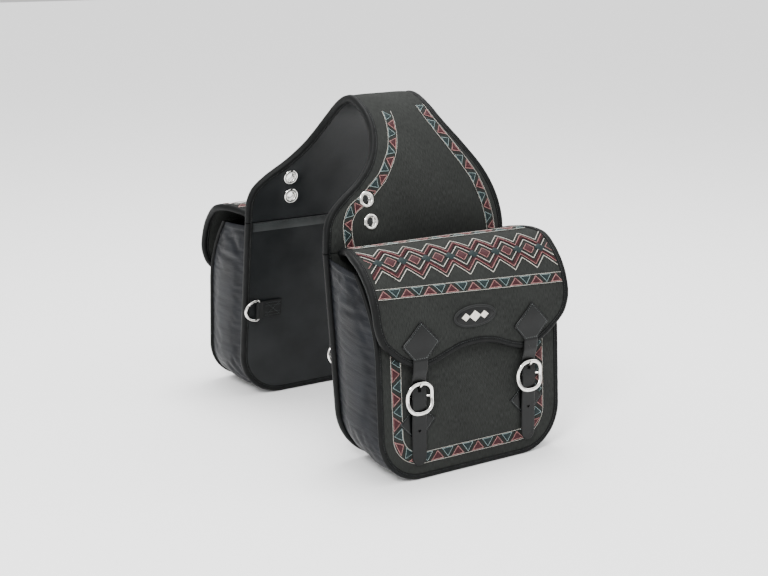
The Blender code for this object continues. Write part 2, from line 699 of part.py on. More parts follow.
def build_tongue(name, x, place, finishes):
    """Flat wire curled round the bar, behind the strap, out through its hole and over the top rail."""
    _, bar_y, bar_z = bar_centre(x)
    lay = TONGUE_THICKNESS / 2
    curl = BAR_RADIUS + GAP + lay
    points = []
    for step in range(11):
        turn = math.radians(20 - 290 * step / 10)
        points.append((bar_y + curl * math.cos(turn), bar_z + curl * math.sin(turn)))
    rail_z = BUCKLE_HALF_HEIGHT
    rail_front = BUCKLE_BOW + BUCKLE_WIRE_DEEP + GAP + lay
    for dy, dz in (
        (-0.0008, 0.0040), (0.0000, 0.0070), (0.0012, 0.0098), (0.0042, 0.0122),
        (0.0082, 0.0148), (rail_front, rail_z - 0.0014), (rail_front + 0.0002, rail_z + 0.0012),
    ):
        points.append((bar_y + dy - FRONT_SLOPE * dz, bar_z + dz))
    profile = Profile(points)
    stations = [(along, TONGUE_HALF_WIDTH) for along in profile.lengths[:-1]]
    stations.append((profile.length, 0.6 * TONGUE_HALF_WIDTH))
    origin = place(x, bar_y, bar_z)
    ribbon(name, profile, stations, x, place, -lay, lay, finishes["nickel"], origin)


def build_ring(pocket, side, finishes):
    """D-ring on the horse's side, its straight bar through a folded webbing tab."""
    place = pocket_place(side)
    lift = SHEET + GAP + TAPE + GAP + TAB_THICKNESS + GAP + RING_WIRE
    bar_z = FOLD_HEIGHT - RING_DROP

    def over_lining(x, z, off):
        return place(x, back_middle(FOLD_HEIGHT - z) - off, z)

    origin = over_lining(RING_BAR_X, bar_z, lift)
    half = RING_HEIGHT / 2
    path = [(0.0, z) for z in np.linspace(-half + 0.8 * RING_ROUND, half - 0.8 * RING_ROUND, 4)]
    bow = RING_REACH - RING_ROUND
    for step in range(13):
        turn = math.radians(90 + 180 * step / 12)
        path.append((-RING_ROUND + bow * math.cos(turn), half * math.sin(turn)))
    rings = []
    for i, (x, z) in enumerate(path):
        ahead, behind = path[(i + 1) % len(path)], path[i - 1]
        run = Vector((ahead[0] - behind[0], ahead[1] - behind[1])).normalized()
        ring = []
        for k in range(6):
            around = math.pi * k / 3
            off = RING_WIRE * math.cos(around)
            ring.append(over_lining(
                RING_BAR_X + x + off * run.y, bar_z + z - off * run.x, lift + RING_WIRE * math.sin(around)
            ))
        rings.append(ring)
    loft(pocket + "_d_ring", rings, finishes["nickel"], closed=True, origin=origin)
    build_tab(pocket, over_lining, lift, bar_z, finishes)


def build_tab(pocket, over_lining, lift, bar_z, finishes):
    """Webbing folded round the ring's bar: both runs lie against the lining as far as the stitching."""
    lay = TAB_THICKNESS / 2
    curl = RING_WIRE + GAP + lay
    low = lift - curl
    high = low + TAB_THICKNESS + GAP
    points = [(TAB_LENGTH, high), (0.75 * TAB_LENGTH, high), (0.45 * TAB_LENGTH, high), (0.0085, high + 0.0006)]
    for step in range(11):
        turn = math.radians(65 + 205 * step / 10)
        points.append((curl * math.cos(turn), lift + curl * math.sin(turn)))
    points += [(0.0040, low), (0.45 * TAB_LENGTH, low), (0.75 * TAB_LENGTH, low), (TAB_LENGTH, low)]
    profile = Profile(points)

    def wrap(z, along, offset):
        x, off = profile.at(along, offset)
        return over_lining(RING_BAR_X + x, z, off)

    rows = [[(bar_z + u * TAB_HALF_WIDTH, along) for u in (-1, 0, 1)] for along in profile.lengths]
    slab(pocket + "_d_ring_tab", rows, wrap, -lay, lay, finishes["webbing"])


def clear_scene():
    for obj in list(bpy.data.objects):
        bpy.data.objects.remove(obj)
    for name in ("saddle_bags", "cutters"):
        bpy.context.scene.collection.children.link(bpy.data.collections.new(name))


def main():
    clear_scene()
    finishes = {
        "canvas": make_finish("woven_canvas", (0.030, 0.031, 0.030), 0.85),
        "vinyl": make_finish("smooth_vinyl", (0.022, 0.024, 0.024), 0.45),
        "foam": make_finish("foam", (0.25, 0.25, 0.24), 0.95),
        "tape": make_finish("binding_tape", (0.018, 0.019, 0.019), 0.60),
        "leather": make_finish("grained_leather", (0.024, 0.026, 0.028), 0.42),
        "webbing": make_finish("webbing", (0.015, 0.015, 0.015), 0.80),
        "patch": make_finish("badge_patch", (0.008, 0.008, 0.008), 0.50),
        "nickel": make_finish("polished_nickel", (0.80, 0.79, 0.77), 0.18, 1.0),
    }
    build_yoke(finishes)
    build_grommets(finishes)
    for pocket, side in (("near", -1), ("far", 1)):
        place = pocket_place(side)
        build_back(pocket, side, finishes)
        build_front(pocket, side, finishes)
        build_gusset(pocket, side, finishes)
        build_flap(pocket, side, finishes)
        build_ring(pocket, side, finishes)
        for hand, x in (("left", -STRAP_X), ("right", STRAP_X)):
            build_strap(f"{pocket}_strap_{hand}", x, place, finishes)
            build_chape(f"{pocket}_chape_{hand}", x, place, finishes)
            build_buckle(f"{pocket}_buckle_{hand}", x, place, finishes)
            build_tongue(f"{pocket}_tongue_{hand}", x, place, finishes)


main()
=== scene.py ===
"""Looks of a pair of saddle bags: padded cloth, grained vinyl, strap leather, nickel and needlework.

Metres, +Z up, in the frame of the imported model. The near pocket faces -Y and the far one mirrors it.
Cloth is made as closed sheets over flat patterns: a flat point (a, b) and an offset off the sheet's
middle become a point in space, and (a, b) is also the sheet's UV map, so weaves follow the cloth.
"""

import math

import bpy
import numpy as np
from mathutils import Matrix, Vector


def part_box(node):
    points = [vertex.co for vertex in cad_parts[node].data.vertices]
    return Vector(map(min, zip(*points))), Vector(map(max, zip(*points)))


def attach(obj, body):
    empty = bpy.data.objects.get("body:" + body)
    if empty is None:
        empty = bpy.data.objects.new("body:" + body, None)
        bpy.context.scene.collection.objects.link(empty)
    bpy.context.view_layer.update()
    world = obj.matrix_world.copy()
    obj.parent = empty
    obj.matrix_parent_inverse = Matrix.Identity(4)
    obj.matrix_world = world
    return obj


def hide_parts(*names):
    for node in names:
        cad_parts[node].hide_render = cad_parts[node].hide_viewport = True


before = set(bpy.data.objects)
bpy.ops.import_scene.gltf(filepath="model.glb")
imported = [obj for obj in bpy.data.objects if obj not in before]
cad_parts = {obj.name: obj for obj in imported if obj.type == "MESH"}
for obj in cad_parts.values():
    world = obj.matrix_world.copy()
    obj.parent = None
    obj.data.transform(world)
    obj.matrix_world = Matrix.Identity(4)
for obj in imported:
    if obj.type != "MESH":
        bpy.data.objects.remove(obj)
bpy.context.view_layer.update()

MM = 0.001
SIDES = (("near", -1), ("far", 1))
HANDS = ("left", "right")

# Sizes read from the frame
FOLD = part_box("near_back_binding")[1].z + 0.0004
HALF_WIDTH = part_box("near_back_binding")[1].x
FLAP_HALF_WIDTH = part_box("near_flap_binding")[1].x
SHEET = 0.0038  # half the thickness of the padded sheets
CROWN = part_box("yoke_cover")[1].z - SHEET
LEG = 0.1108  # from the middle plane to the middle of a yoke leg at the fold
SPLAY = math.tan(math.radians(7.75))
ROUNDNESS = 1.65
TAPE = 0.0012
TAPE_LEG = 0.0085
BACK_CORNER, FRONT_CORNER = 0.069, 0.061
FRONT_THICKNESS = 0.0036
FLAP_THICKNESS = 0.0064
STRAP_THICKNESS, STRAP_HALF_WIDTH, KITE_HALF_WIDTH = 0.0018, 0.0105, 0.0275
BUCKLE_DROP = 0.161
BAR_AWAY = 0.2446285  # from the middle plane to the bar of a buckle
FRONT_SLOPE = 0.0685  # how much further out the front panel lies for each metre down
RING_BAR_X, RING_BAR_Z = -0.119, FOLD - 0.132
CLOTH_FRAMES = 20
LINE_CLEARANCE, FIELD_CLEARANCE = 0.0112, 0.0105  # of needlework from the middle of a grommet
STRAP_X = (-0.085, 0.085)
BADGE_X = -0.004
TIE_HOLES = ((-0.0735, 0.0620), (-0.0705, 0.0337))  # X, height above the fold

YOKE_FRONT_EDGE = (  # height above the fold, X
    (0.0, -0.1400), (0.018, -0.1392), (0.034, -0.1368), (0.050, -0.1290), (0.066, -0.1110),
    (0.084, -0.0840), (0.107, -0.0595), (0.132, -0.0448), (0.155, -0.0380), (0.1785, -0.0368),
)
YOKE_REAR_EDGE = (
    (0.0, 0.1400), (0.020, 0.1385), (0.042, 0.1340), (0.063, 0.1270), (0.085, 0.1164),
    (0.120, 0.0930), (0.150, 0.0745), (0.166, 0.0694), (0.1785, 0.0665),
)
FLAP_SECTION = (  # distance from the middle plane, height from the fold
    (0.1163, 0.0030), (0.1440, 0.0112), (0.1720, 0.0150), (0.1980, 0.0105), (0.2200, -0.0050),
    (0.2370, -0.0260), (0.2465, -0.0500), (0.2495, -0.0750), (0.2488, -0.1000), (0.2476, -0.1300),
)
FLAP_EDGE = (  # from the middle to the side: X, drop below the fold
    (0.0, 0.1045), (0.024, 0.1070), (0.048, 0.1158), (0.070, 0.1230), (0.092, 0.1210),
    (0.112, 0.1115), (0.130, 0.0960), (0.1430, 0.0790), (0.148, 0.0620),
)
YOKE_FRONT_BAND = (  # middle of the needlework band: height above the fold, X
    (0.004, -0.1045), (0.020, -0.1070), (0.038, -0.1055), (0.050, -0.0985), (0.063, -0.0770),
    (0.075, -0.0610), (0.085, -0.0475), (0.0975, -0.0360), (0.118, -0.0205), (0.136, -0.0120),
    (0.152, -0.0070), (0.164, -0.0050),
)
YOKE_REAR_BAND = (
    (0.004, 0.1175), (0.033, 0.1120), (0.055, 0.1050), (0.074, 0.0975), (0.095, 0.0850),
    (0.113, 0.0735), (0.133, 0.0620), (0.150, 0.0540), (0.164, 0.0510),
)


# Curves and surfaces


def through(knots, where):
    """A smooth curve through (position, value) knots."""
    x, v = np.array(knots, float).T
    slope = np.gradient(v, x)
    where = np.clip(where, x[0], x[-1])
    i = np.clip(np.searchsorted(x, where, side="right") - 1, 0, len(x) - 2)
    w = x[i + 1] - x[i]
    u = (where - x[i]) / w
    return (
        (2 * u**3 - 3 * u**2 + 1) * v[i] + (u**3 - 2 * u**2 + u) * w * slope[i]
        + (3 * u**2 - 2 * u**3) * v[i + 1] + (u**3 - u**2) * w * slope[i + 1]
    )


def lengths_along(points):
    """How far along a path each of its points lies."""
    return np.concatenate([[0.0], np.cumsum(np.linalg.norm(np.diff(points, axis=0), axis=1))])


def heading(path):
    """Unit directions along a path."""
    run = np.gradient(path, axis=0)
    return run / np.linalg.norm(run, axis=1)[:, None]


def averaged(path, reach):
    """A path with every point averaged over so many neighbours on each side."""
    window = np.ones(2 * reach + 1) / (2 * reach + 1)
    padded = np.pad(path, ((reach, reach), (0, 0)), mode="edge")
    return np.column_stack([np.convolve(column, window, "valid") for column in padded.T])


def smooth_path(points, count):
    """Even steps along a smooth curve through points."""
    points = np.array(points, float)
    chords = lengths_along(points)
    places = np.linspace(0, chords[-1], 40 * len(points))
    dense = np.column_stack([through(list(zip(chords, column)), places) for column in points.T])
    return even_path(dense, count)


def even_path(points, count):
    steps = lengths_along(points)
    places = np.linspace(0, steps[-1], count)
    return np.column_stack([np.interp(places, steps, column) for column in points.T])


class Section:
    """A line in the YZ plane walked by length. Offsets step off it to the left of travel."""

    def __init__(self, points):
        points = np.array(points, float)
        lengths = lengths_along(points)
        self.length = lengths[-1]
        self.grid = np.linspace(0, self.length, 1500)
        self.line = np.column_stack([np.interp(self.grid, lengths, column) for column in points.T])
        tangent = averaged(np.gradient(self.line, self.grid, axis=0), 7)
        self.tangent = tangent / np.linalg.norm(tangent, axis=1)[:, None]

    def __call__(self, along, offset):
        inside = np.clip(along, 0, self.length)
        y, z, ty, tz = (
            np.interp(inside, self.grid, column) for column in (*self.line.T, *self.tangent.T)
        )
        over = along - inside
        return y + over * ty - offset * tz, z + over * tz + offset * ty

    def along_at_height(self, height):
        heights = self.line[:, 1]
        last = np.nonzero((heights[:-1] >= height) & (heights[1:] <= height))[0][-1]
        return self.grid[last]


def arch_section():
    turn = np.linspace(0, math.pi, 900)
    reach = LEG * np.abs(np.cos(turn)) ** (2 / ROUNDNESS)
    y = -np.copysign(reach, np.cos(turn))
    return Section(np.column_stack([y, FOLD + (CROWN - FOLD) * np.sin(turn)]))


ARCH = arch_section()
FLAP = Section(smooth_path(FLAP_SECTION, 400) + np.array([0.0, FOLD]))


def front_face(drop):
    """Distance of a front panel's outer face from the middle plane."""
    lean = np.maximum(0.0, (0.110 - drop) / 0.100)
    return 0.2300 + FRONT_SLOPE * drop - 0.0434 * lean**2


def stack(x, y, z):
    x, y, z = np.broadcast_arrays(x, y, z)
    return np.stack([x, y, z], axis=-1)


def on_yoke(x, along, offset):
    return stack(x, *ARCH(along, offset))


def arch_along(side, height):
    rising = ARCH.line[:750, 1] - FOLD
    along = np.interp(height, rising, ARCH.grid[:750])
    return along if side < 0 else ARCH.length - along


def pocket_surfaces(side):
    """Flat-pattern maps of one pocket: back, front panel and flap."""

    def on_back(x, z, offset):
        return stack(x, side * (LEG + SPLAY * (FOLD - z) + offset), z)

    def on_front(x, z, offset):
        return stack(x, side * (front_face(FOLD - z) + offset), z)

    def on_flap(x, along, offset):
        y, z = FLAP(along, offset)
        return stack(x, side * y, z)

    return on_back, on_front, on_flap


def ripple(where, seed, lengths):
    """Smooth repeatable unevenness between about -1 and 1."""
    chance = np.random.default_rng(seed)
    total = np.zeros_like(np.asarray(where, float))
    for length in lengths:
        total = total + np.sin(2 * math.pi * (where / length + chance.random()))
    return total / len(lengths)


def mottle(a, b, seed, size):
    """Smooth repeatable unevenness over a flat pattern."""
    chance = np.random.default_rng(seed)
    total = np.zeros_like(np.asarray(a + b, float))
    for _ in range(7):
        turn = chance.random() * 2 * math.pi
        length = size * (0.6 + 1.1 * chance.random())
        reach = a * math.cos(turn) + b * math.sin(turn)
        total = total + np.sin(2 * math.pi * (reach / length + chance.random()))
    return total / 7


# Meshes


def make_mesh(name, points, faces, flat, finish):
    """A closed mesh, turned outwards, with its flat pattern as UV."""
    points = np.asarray(points, float).reshape(-1, 3)
    faces = np.asarray(faces)
    corners = points[faces]
    middle = corners.mean(axis=1)
    across = np.cross(corners[:, 2] - corners[:, 0], corners[:, 3] - corners[:, 1])
    if (middle * across).sum() < 0:
        faces = faces[:, ::-1]
    mesh = bpy.data.meshes.new(name)
    mesh.from_pydata(points.tolist(), [], faces.tolist())
    layer = mesh.uv_layers.new(name="flat")
    layer.data.foreach_set("uv", np.asarray(flat, np.float32).reshape(-1, 2)[faces.ravel()].ravel())
    mesh.shade_smooth()
    mesh.set_sharp_from_angle(angle=math.radians(55))
    mesh.materials.append(finish)
    obj = bpy.data.objects.new(name, mesh)
    bpy.context.scene.collection.objects.link(obj)
    return obj


def sheet_mesh(name, place, a, b, low, high, finish, holes=(), top=None):
    """A closed sheet over a grid of flat points, between two offsets. Holes are flat ovals through it."""
    n, m = a.shape
    low, high = np.broadcast_to(low, a.shape), np.broadcast_to(high, a.shape)
    above = place(a, b, high) if top is None else top
    points = np.concatenate([above.reshape(-1, 3), place(a, b, low).reshape(-1, 3)])
    index = np.arange(n * m).reshape(n, m)
    upper = np.stack([index[:-1, :-1], index[:-1, 1:], index[1:, 1:], index[1:, :-1]], -1).reshape(-1, 4)
    flat = np.stack([a, b], -1).reshape(-1, 2)
    middle = flat[upper].mean(axis=1)
    for x, y, wide, tall in holes:
        keep = np.hypot((middle[:, 0] - x) / wide, (middle[:, 1] - y) / tall) > 1
        upper, middle = upper[keep], middle[keep]
    ends = np.concatenate([upper[:, [i, (i + 1) % 4]] for i in range(4)])
    there = set(map(tuple, ends.tolist()))
    rim = np.array([e for e in ends.tolist() if (e[1], e[0]) not in there])
    wall = np.stack([rim[:, 1], rim[:, 0], rim[:, 0] + n * m, rim[:, 1] + n * m], -1)
    faces = np.concatenate([upper, upper[:, ::-1] + n * m, wall])
    used, faces = np.unique(faces, return_inverse=True)
    return make_mesh(name, points[used], faces.reshape(-1, 4), np.tile(flat, (2, 1))[used], finish)


def ring_mesh(name, rings, finish, closed=False):
    """A solid through rings of points: joined into a loop, or capped with a fan of quads."""
    rings = np.asarray(rings, float)
    n, k = rings.shape[:2]
    index = np.arange(n * k).reshape(n, k)
    following = np.roll(index, -1, axis=1)
    if closed:
        here, there = index, np.roll(index, -1, axis=0)
        nearby, beyond = following, np.roll(following, -1, axis=0)
    else:
        here, there, nearby, beyond = index[:-1], index[1:], following[:-1], following[1:]
    faces = [np.stack([here, nearby, beyond, there], -1).reshape(-1, 4)]
    if not closed:
        half = k // 2
        for row, turned in ((index[0], False), (index[-1], True)):
            fold = [[row[j], row[j + 1], row[(k - 2 - j) % k], row[(k - 1 - j) % k]] for j in range(half - 1)]
            fold = np.array(fold)
            faces.append(fold if turned else fold[:, ::-1])
    centre = rings.mean(axis=1)
    along = lengths_along(centre)
    around = lengths_along(rings[n // 2])
    flat = np.stack(np.meshgrid(around, along), -1)
    return make_mesh(name, rings, np.concatenate(faces), flat, finish)


def settle(obj):
    """Replaces an object's mesh with the result of its modifiers, and removes them."""
    graph = bpy.context.evaluated_depsgraph_get()
    mesh = bpy.data.meshes.new_from_object(obj.evaluated_get(graph))
    obj.modifiers.clear()
    obj.data = mesh
    return obj


def join(name, parts):
    """One object from several meshes that stay separate shells."""
    bpy.ops.object.select_all(action="DESELECT")
    for part in parts:
        part.select_set(True)
    bpy.context.view_layer.objects.active = parts[0]
    bpy.ops.object.join()
    parts[0].name = parts[0].data.name = name
    return parts[0]


def finished(piece, body, slot, *nodes):
    """Puts a piece on its body and hides the CAD nodes that it stands for. The slot is not used."""
    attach(piece, body)
    if nodes:
        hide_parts(*nodes)
    return piece


# Finishes


def colour(code):
    """sRGB hex to linear RGBA."""
    parts = [int(code[i : i + 2], 16) / 255 for i in (1, 3, 5)]
    linear = [p / 12.92 if p <= 0.04045 else ((p + 0.055) / 1.055) ** 2.4 for p in parts]
    return (*linear, 1.0)


def node(tree, kind, settings=None, links=None, **values):
    """Adds a node: settings are its properties, links join sockets, values fill sockets."""
    made = tree.nodes.new(kind)
    for key, value in (settings or {}).items():
        setattr(made, key, value)
    for key, value in values.items():
        socket = made.inputs[int(key[1:]) if key[0] == "_" else key.replace("_", " ")]
        socket.default_value = value
    for key, source in (links or {}).items():
        tree.links.new(source, made.inputs[key])
    return made


def new_finish(name, roughness, metallic=0.0, **shader_values):
    finish = bpy.data.materials.new(name)
    finish.use_nodes = True
    shader = finish.node_tree.nodes["Principled BSDF"]
    shader.inputs["Roughness"].default_value = roughness
    shader.inputs["Metallic"].default_value = metallic
    for key, value in shader_values.items():
        shader.inputs[key.replace("_", " ")].default_value = value
    return finish, finish.node_tree, shader


def flat_place(tree, stretch=(1.0, 1.0, 1.0)):
    """The sheet's own flat pattern, in metres."""
    uv = node(tree, "ShaderNodeUVMap", {"uv_map": "flat"})
    return node(tree, "ShaderNodeMapping", links={"Vector": uv.outputs["UV"]}, Scale=stretch).outputs["Vector"]


def ramp_between(tree, factor, dark, light, low=0.3, high=0.7):
    made = node(tree, "ShaderNodeValToRGB", links={"Fac": factor})
    stops = made.color_ramp.elements
    stops[0].position, stops[0].color = low, colour(dark)
    stops[1].position, stops[1].color = high, colour(light)
    return made.outputs["Color"]


def bump(tree, shader, height, distance, strength=1.0, under=None):
    links = {"Height": height}
    if under is not None:
        links["Normal"] = under
    made = node(tree, "ShaderNodeBump", links=links, Distance=distance, Strength=strength)
    tree.links.new(made.outputs["Normal"], shader.inputs["Normal"])
    return made.outputs["Normal"]


def math_node(tree, operation, first, second=None):
    made = node(tree, "ShaderNodeMath", {"operation": operation})
    for i, value in enumerate((first, second)):
        if value is None:
            continue
        if isinstance(value, (int, float)):
            made.inputs[i].default_value = value
        else:
            tree.links.new(value, made.inputs[i])
    return made.outputs["Value"]


def weave_height(tree, place, thread):
    """Plain weave: threads that pass over and under each other, one thread every `thread` metres."""
    split = node(tree, "ShaderNodeSeparateXYZ", links={"Vector": place})
    waves = []
    for axis in ("X", "Y"):
        turned = math_node(tree, "MULTIPLY", split.outputs[axis], math.pi / thread)
        waves.append(math_node(tree, "SINE", turned))
    return math_node(tree, "MULTIPLY", *waves)


def noise(tree, place, scale, detail, **values):
    return node(tree, "ShaderNodeTexNoise", links={"Vector": place}, Scale=scale, Detail=detail, **values)


def tint(tree, shader, factor, dark, light, low=0.3, high=0.7):
    """Colours a shader between two shades."""
    tree.links.new(ramp_between(tree, factor, dark, light, low, high), shader.inputs["Base Color"])


def canvas_finish(name, dark, light, thread=1.1 * MM):
    """Woven polyester canvas: matte threads, darker between them, faint slubs along the warp."""
    finish, tree, shader = new_finish(name, 0.85, Specular_IOR_Level=0.15)
    place = flat_place(tree)
    weave = weave_height(tree, place, thread)
    slubs = noise(tree, flat_place(tree, (1100.0, 160.0, 1.0)), 1.0, 3.0)
    wear = noise(tree, place, 14.0, 4.0)
    mixed = math_node(tree, "ADD", math_node(tree, "MULTIPLY", weave, 0.13), slubs.outputs["Fac"])
    mixed = math_node(tree, "ADD", mixed, math_node(tree, "MULTIPLY", wear.outputs["Fac"], 0.35))
    tint(tree, shader, mixed, dark, light, 0.42, 0.95)
    height = math_node(tree, "ADD", weave, slubs.outputs["Fac"])
    bump(tree, shader, height, 0.16 * MM, 0.55)
    return finish


def vinyl_finish(name, dark, light, roughness, cell, creases, shine):
    """Coated cloth with a pressed leather grain: soft gloss, pebbles, and creases across its length."""
    finish, tree, shader = new_finish(name, roughness, Specular_IOR_Level=shine)
    place = flat_place(tree)
    grain = node(
        tree, "ShaderNodeTexVoronoi", {"feature": "DISTANCE_TO_EDGE"}, {"Vector": place}, Scale=1 / cell, Randomness=1.0
    )
    pits = ramp_between(tree, grain.outputs["Distance"], "#000000", "#ffffff", 0.0, 0.22)
    wear = noise(tree, place, 22.0, 5.0)
    tint(tree, shader, wear.outputs["Fac"], dark, light, 0.35, 0.72)
    lines = noise(tree, flat_place(tree, (24.0, 380.0, 1.0)), 1.0, 5.0, Distortion=0.9)
    first = bump(tree, shader, pits, 0.07 * MM, 0.5)
    bump(tree, shader, lines.outputs["Fac"], creases, 0.8, first)
    uneven = math_node(tree, "ADD", math_node(tree, "MULTIPLY", wear.outputs["Fac"], 0.18), roughness - 0.09)
    tree.links.new(uneven, shader.inputs["Roughness"])
    return finish


def tape_finish(name, dark, light):
    """Folded grosgrain tape: fine ribs across it and a faint shine."""
    finish, tree, shader = new_finish(name, 0.55, Specular_IOR_Level=0.12)
    place = flat_place(tree)
    ribs = node(tree, "ShaderNodeTexWave", {"bands_direction": "Y"}, {"Vector": place}, Scale=300.0, Distortion=0.4)
    wear = noise(tree, place, 60.0, 4.0)
    tint(tree, shader, wear.outputs["Fac"], dark, light, 0.35, 0.7)
    bump(tree, shader, ribs.outputs["Fac"], 0.10 * MM, 0.5)
    return finish


def leather_finish(name, dark, light, roughness):
    """Finished strap leather: fine pebbled grain with a waxed shine, paler in random patches."""
    finish, tree, shader = new_finish(name, roughness, Specular_IOR_Level=0.2)
    place = node(tree, "ShaderNodeTexCoord").outputs["Object"]
    grain = node(tree, "ShaderNodeTexVoronoi", {"feature": "DISTANCE_TO_EDGE"}, {"Vector": place}, Scale=1 / (1.1 * MM))
    fine = noise(tree, place, 420.0, 5.0)
    wear = noise(tree, place, 55.0, 4.0)
    tint(tree, shader, wear.outputs["Fac"], dark, light, 0.35, 0.7)
    pits = ramp_between(tree, grain.outputs["Distance"], "#000000", "#ffffff", 0.0, 0.2)
    first = bump(tree, shader, pits, 0.05 * MM, 0.4)
    bump(tree, shader, fine.outputs["Fac"], 0.06 * MM, 0.4, first)
    uneven = math_node(tree, "ADD", math_node(tree, "MULTIPLY", wear.outputs["Fac"], 0.16), roughness - 0.08)
    tree.links.new(uneven, shader.inputs["Roughness"])
    return finish


def metal_finish(name):
    """Polished nickel plate: bright and slightly warm, with faint rubbing marks."""
    finish, tree, shader = new_finish(name, 0.16, 1.0)
    place = node(tree, "ShaderNodeTexCoord").outputs["Object"]
    rub = noise(tree, place, 180.0, 3.0)
    tint(tree, shader, rub.outputs["Fac"], "#d8d6d0", "#f2f1ee")
    rough = math_node(tree, "ADD", math_node(tree, "MULTIPLY", rub.outputs["Fac"], 0.14), 0.08)
    tree.links.new(rough, shader.inputs["Roughness"])
    return finish


def thread_finish(name, dark, light):
    """Glossy rayon needlework thread, with its colour uneven from stitch to stitch."""
    finish, tree, shader = new_finish(name, 0.55, Specular_IOR_Level=0.2)
    place = node(tree, "ShaderNodeTexCoord").outputs["Object"]
    uneven = noise(tree, place, 420.0, 2.0)
    tint(tree, shader, uneven.outputs["Fac"], dark, light)
    return finish


def satin_finish(name, dark, light):
    """Satin-stitched field: parallel threads side by side, a dark line between each pair."""
    finish, tree, shader = new_finish(name, 0.6, Specular_IOR_Level=0.2)
    threads = node(
        tree, "ShaderNodeTexWave", {"bands_direction": "X"}, {"Vector": flat_place(tree)}, Scale=165.0, Distortion=0.8
    )
    tint(tree, shader, threads.outputs["Fac"], dark, light, 0.1, 0.75)
    bump(tree, shader, threads.outputs["Fac"], 0.25 * MM, 0.7)
    return finish


# Flat outlines


def u_path(half_width, corner, inset, top, sides=44, arc=26, bottom=60):
    """A U from its left top corner round to its right one, with its inward directions."""
    reach, r = half_width - corner, corner - inset
    down = np.linspace(top, corner, sides, endpoint=False)
    turn = np.linspace(math.pi, 1.5 * math.pi, arc, endpoint=False)
    left = np.column_stack([np.full(sides, -(half_width - inset)), down])
    bend = np.column_stack([-reach + r * np.cos(turn), corner + r * np.sin(turn)])
    half = np.concatenate([left, bend])
    into = np.concatenate([np.tile([1.0, 0.0], (sides, 1)), np.column_stack([-np.cos(turn), -np.sin(turn)])])
    base = np.column_stack([np.linspace(-reach, reach, bottom), np.full(bottom, inset)])
    mirror = np.array([-1.0, 1.0])
    points = np.concatenate([half, base, half[::-1] * mirror])
    return points, np.concatenate([into, np.tile([0.0, 1.0], (bottom, 1)), into[::-1] * mirror])


def u_grid(half_width, corner, inset, top, rows=72, columns=72):
    """A grid of flat points that fills a U outline, closer together at its rim."""
    share = (1 - np.cos(np.linspace(0, math.pi, rows))) / 2
    z = top - (top - inset) * share
    r = corner - inset
    rise = np.clip((corner - z) / r, 0, 1)
    half = half_width - corner + r * np.sqrt(1 - rise**2)
    across = np.sin(np.linspace(-math.pi / 2, math.pi / 2, columns))
    across = 0.55 * across + 0.45 * np.linspace(-1, 1, columns)
    return half[:, None] * across[None, :], np.repeat(z[:, None], columns, axis=1)


def u_depth(a, b, half_width, corner):
    """How far flat points lie inside a U outline."""
    reach = half_width - corner
    x, z = np.abs(a), b
    out_x, out_z = np.maximum(x - reach, 0), np.maximum(corner - z, 0)
    round_part = corner - np.hypot(out_x, out_z)
    return np.where(z >= corner, half_width - x, np.where(x <= reach, z, round_part))


def inward(path, towards):
    """Directions square to a flat path, all on the side of a point."""
    run = heading(path)
    square = np.column_stack([-run[:, 1], run[:, 0]])
    return square if (square * (np.array(towards) - path)).sum() > 0 else -square


def flap_edge_along(x):
    drop = through(FLAP_EDGE, np.minimum(np.abs(x), FLAP_EDGE[-1][0]))
    falling = slice(0, len(FLAP.grid) * 3 // 4)
    return np.interp(FOLD - drop, FLAP.line[::-1, 1][falling], FLAP.grid[::-1][falling])


# Soft parts


def bound_edge(name, path, into, place, low, high, finish, leg=TAPE_LEG, seed=1, thick=TAPE):
    """Tape folded over a sheet's edge: a soft nose, two legs, and a stitched furrow in each leg."""
    middle, half = (low + high) / 2, (high - low) / 2
    one_leg = [
        (leg, half - 0.4 * MM), (leg + 0.1 * MM, half + 0.5 * thick), (leg - 0.5 * MM, half + 0.95 * thick),
        (leg - 1.3 * MM, half + 0.95 * thick), (leg - 2.0 * MM, half + 0.45 * thick),
        (leg - 2.7 * MM, half + 1.0 * thick), (0.55 * leg, half + 1.35 * thick),
        (0.30 * leg, half + 1.2 * thick),
        (0.12 * leg, half + 0.75 * thick), (0.0, half * 0.72), (-0.35 * MM, half * 0.25),
    ]
    profile = np.array(one_leg + [(w, -o) for w, o in one_leg[::-1]])
    run = lengths_along(path)
    swell = 0.28 * MM * ripple(run, seed, (0.011, 0.017, 0.029))[:, None]
    w = profile[None, :, 0] + 0.5 * swell
    o = middle + profile[None, :, 1] + np.sign(profile[None, :, 1]) * swell
    flat = path[:, None, :] + into[:, None, :] * w[..., None]
    return ring_mesh(name, place(flat[..., 0], flat[..., 1], o), finish)


def furrow_lines(path, into, place, low, high, leg=TAPE_LEG, thick=TAPE):
    """Where the two seams of a bound edge run."""
    flat = path + into * (leg - 2.0 * MM)
    return [place(*flat.T, high + 0.55 * thick), place(*flat.T, low - 0.55 * thick)]


def puff(depth, height, soft):
    """Padding that swells away from a bound rim."""
    return height * (1 - np.exp(-np.maximum(depth, 0) / soft))


def refine(grid, places, count, axis=0):
    """A coarse grid's values at every fine place along one axis, with the kinks taken out."""
    fine = np.arange(count)
    i = np.clip(np.searchsorted(places, fine, side="right") - 1, 0, len(places) - 2)
    shape = [1, 1, 1]
    shape[axis] = count
    share = ((fine - places[i]) / (places[i + 1] - places[i])).reshape(shape)
    made = np.take(grid, i, axis) * (1 - share) + np.take(grid, i + 1, axis) * share
    before, after = (np.take(made, np.clip(fine + step, 0, count - 1), axis) for step in (-1, 1))
    return (before + 2 * made + after) / 4


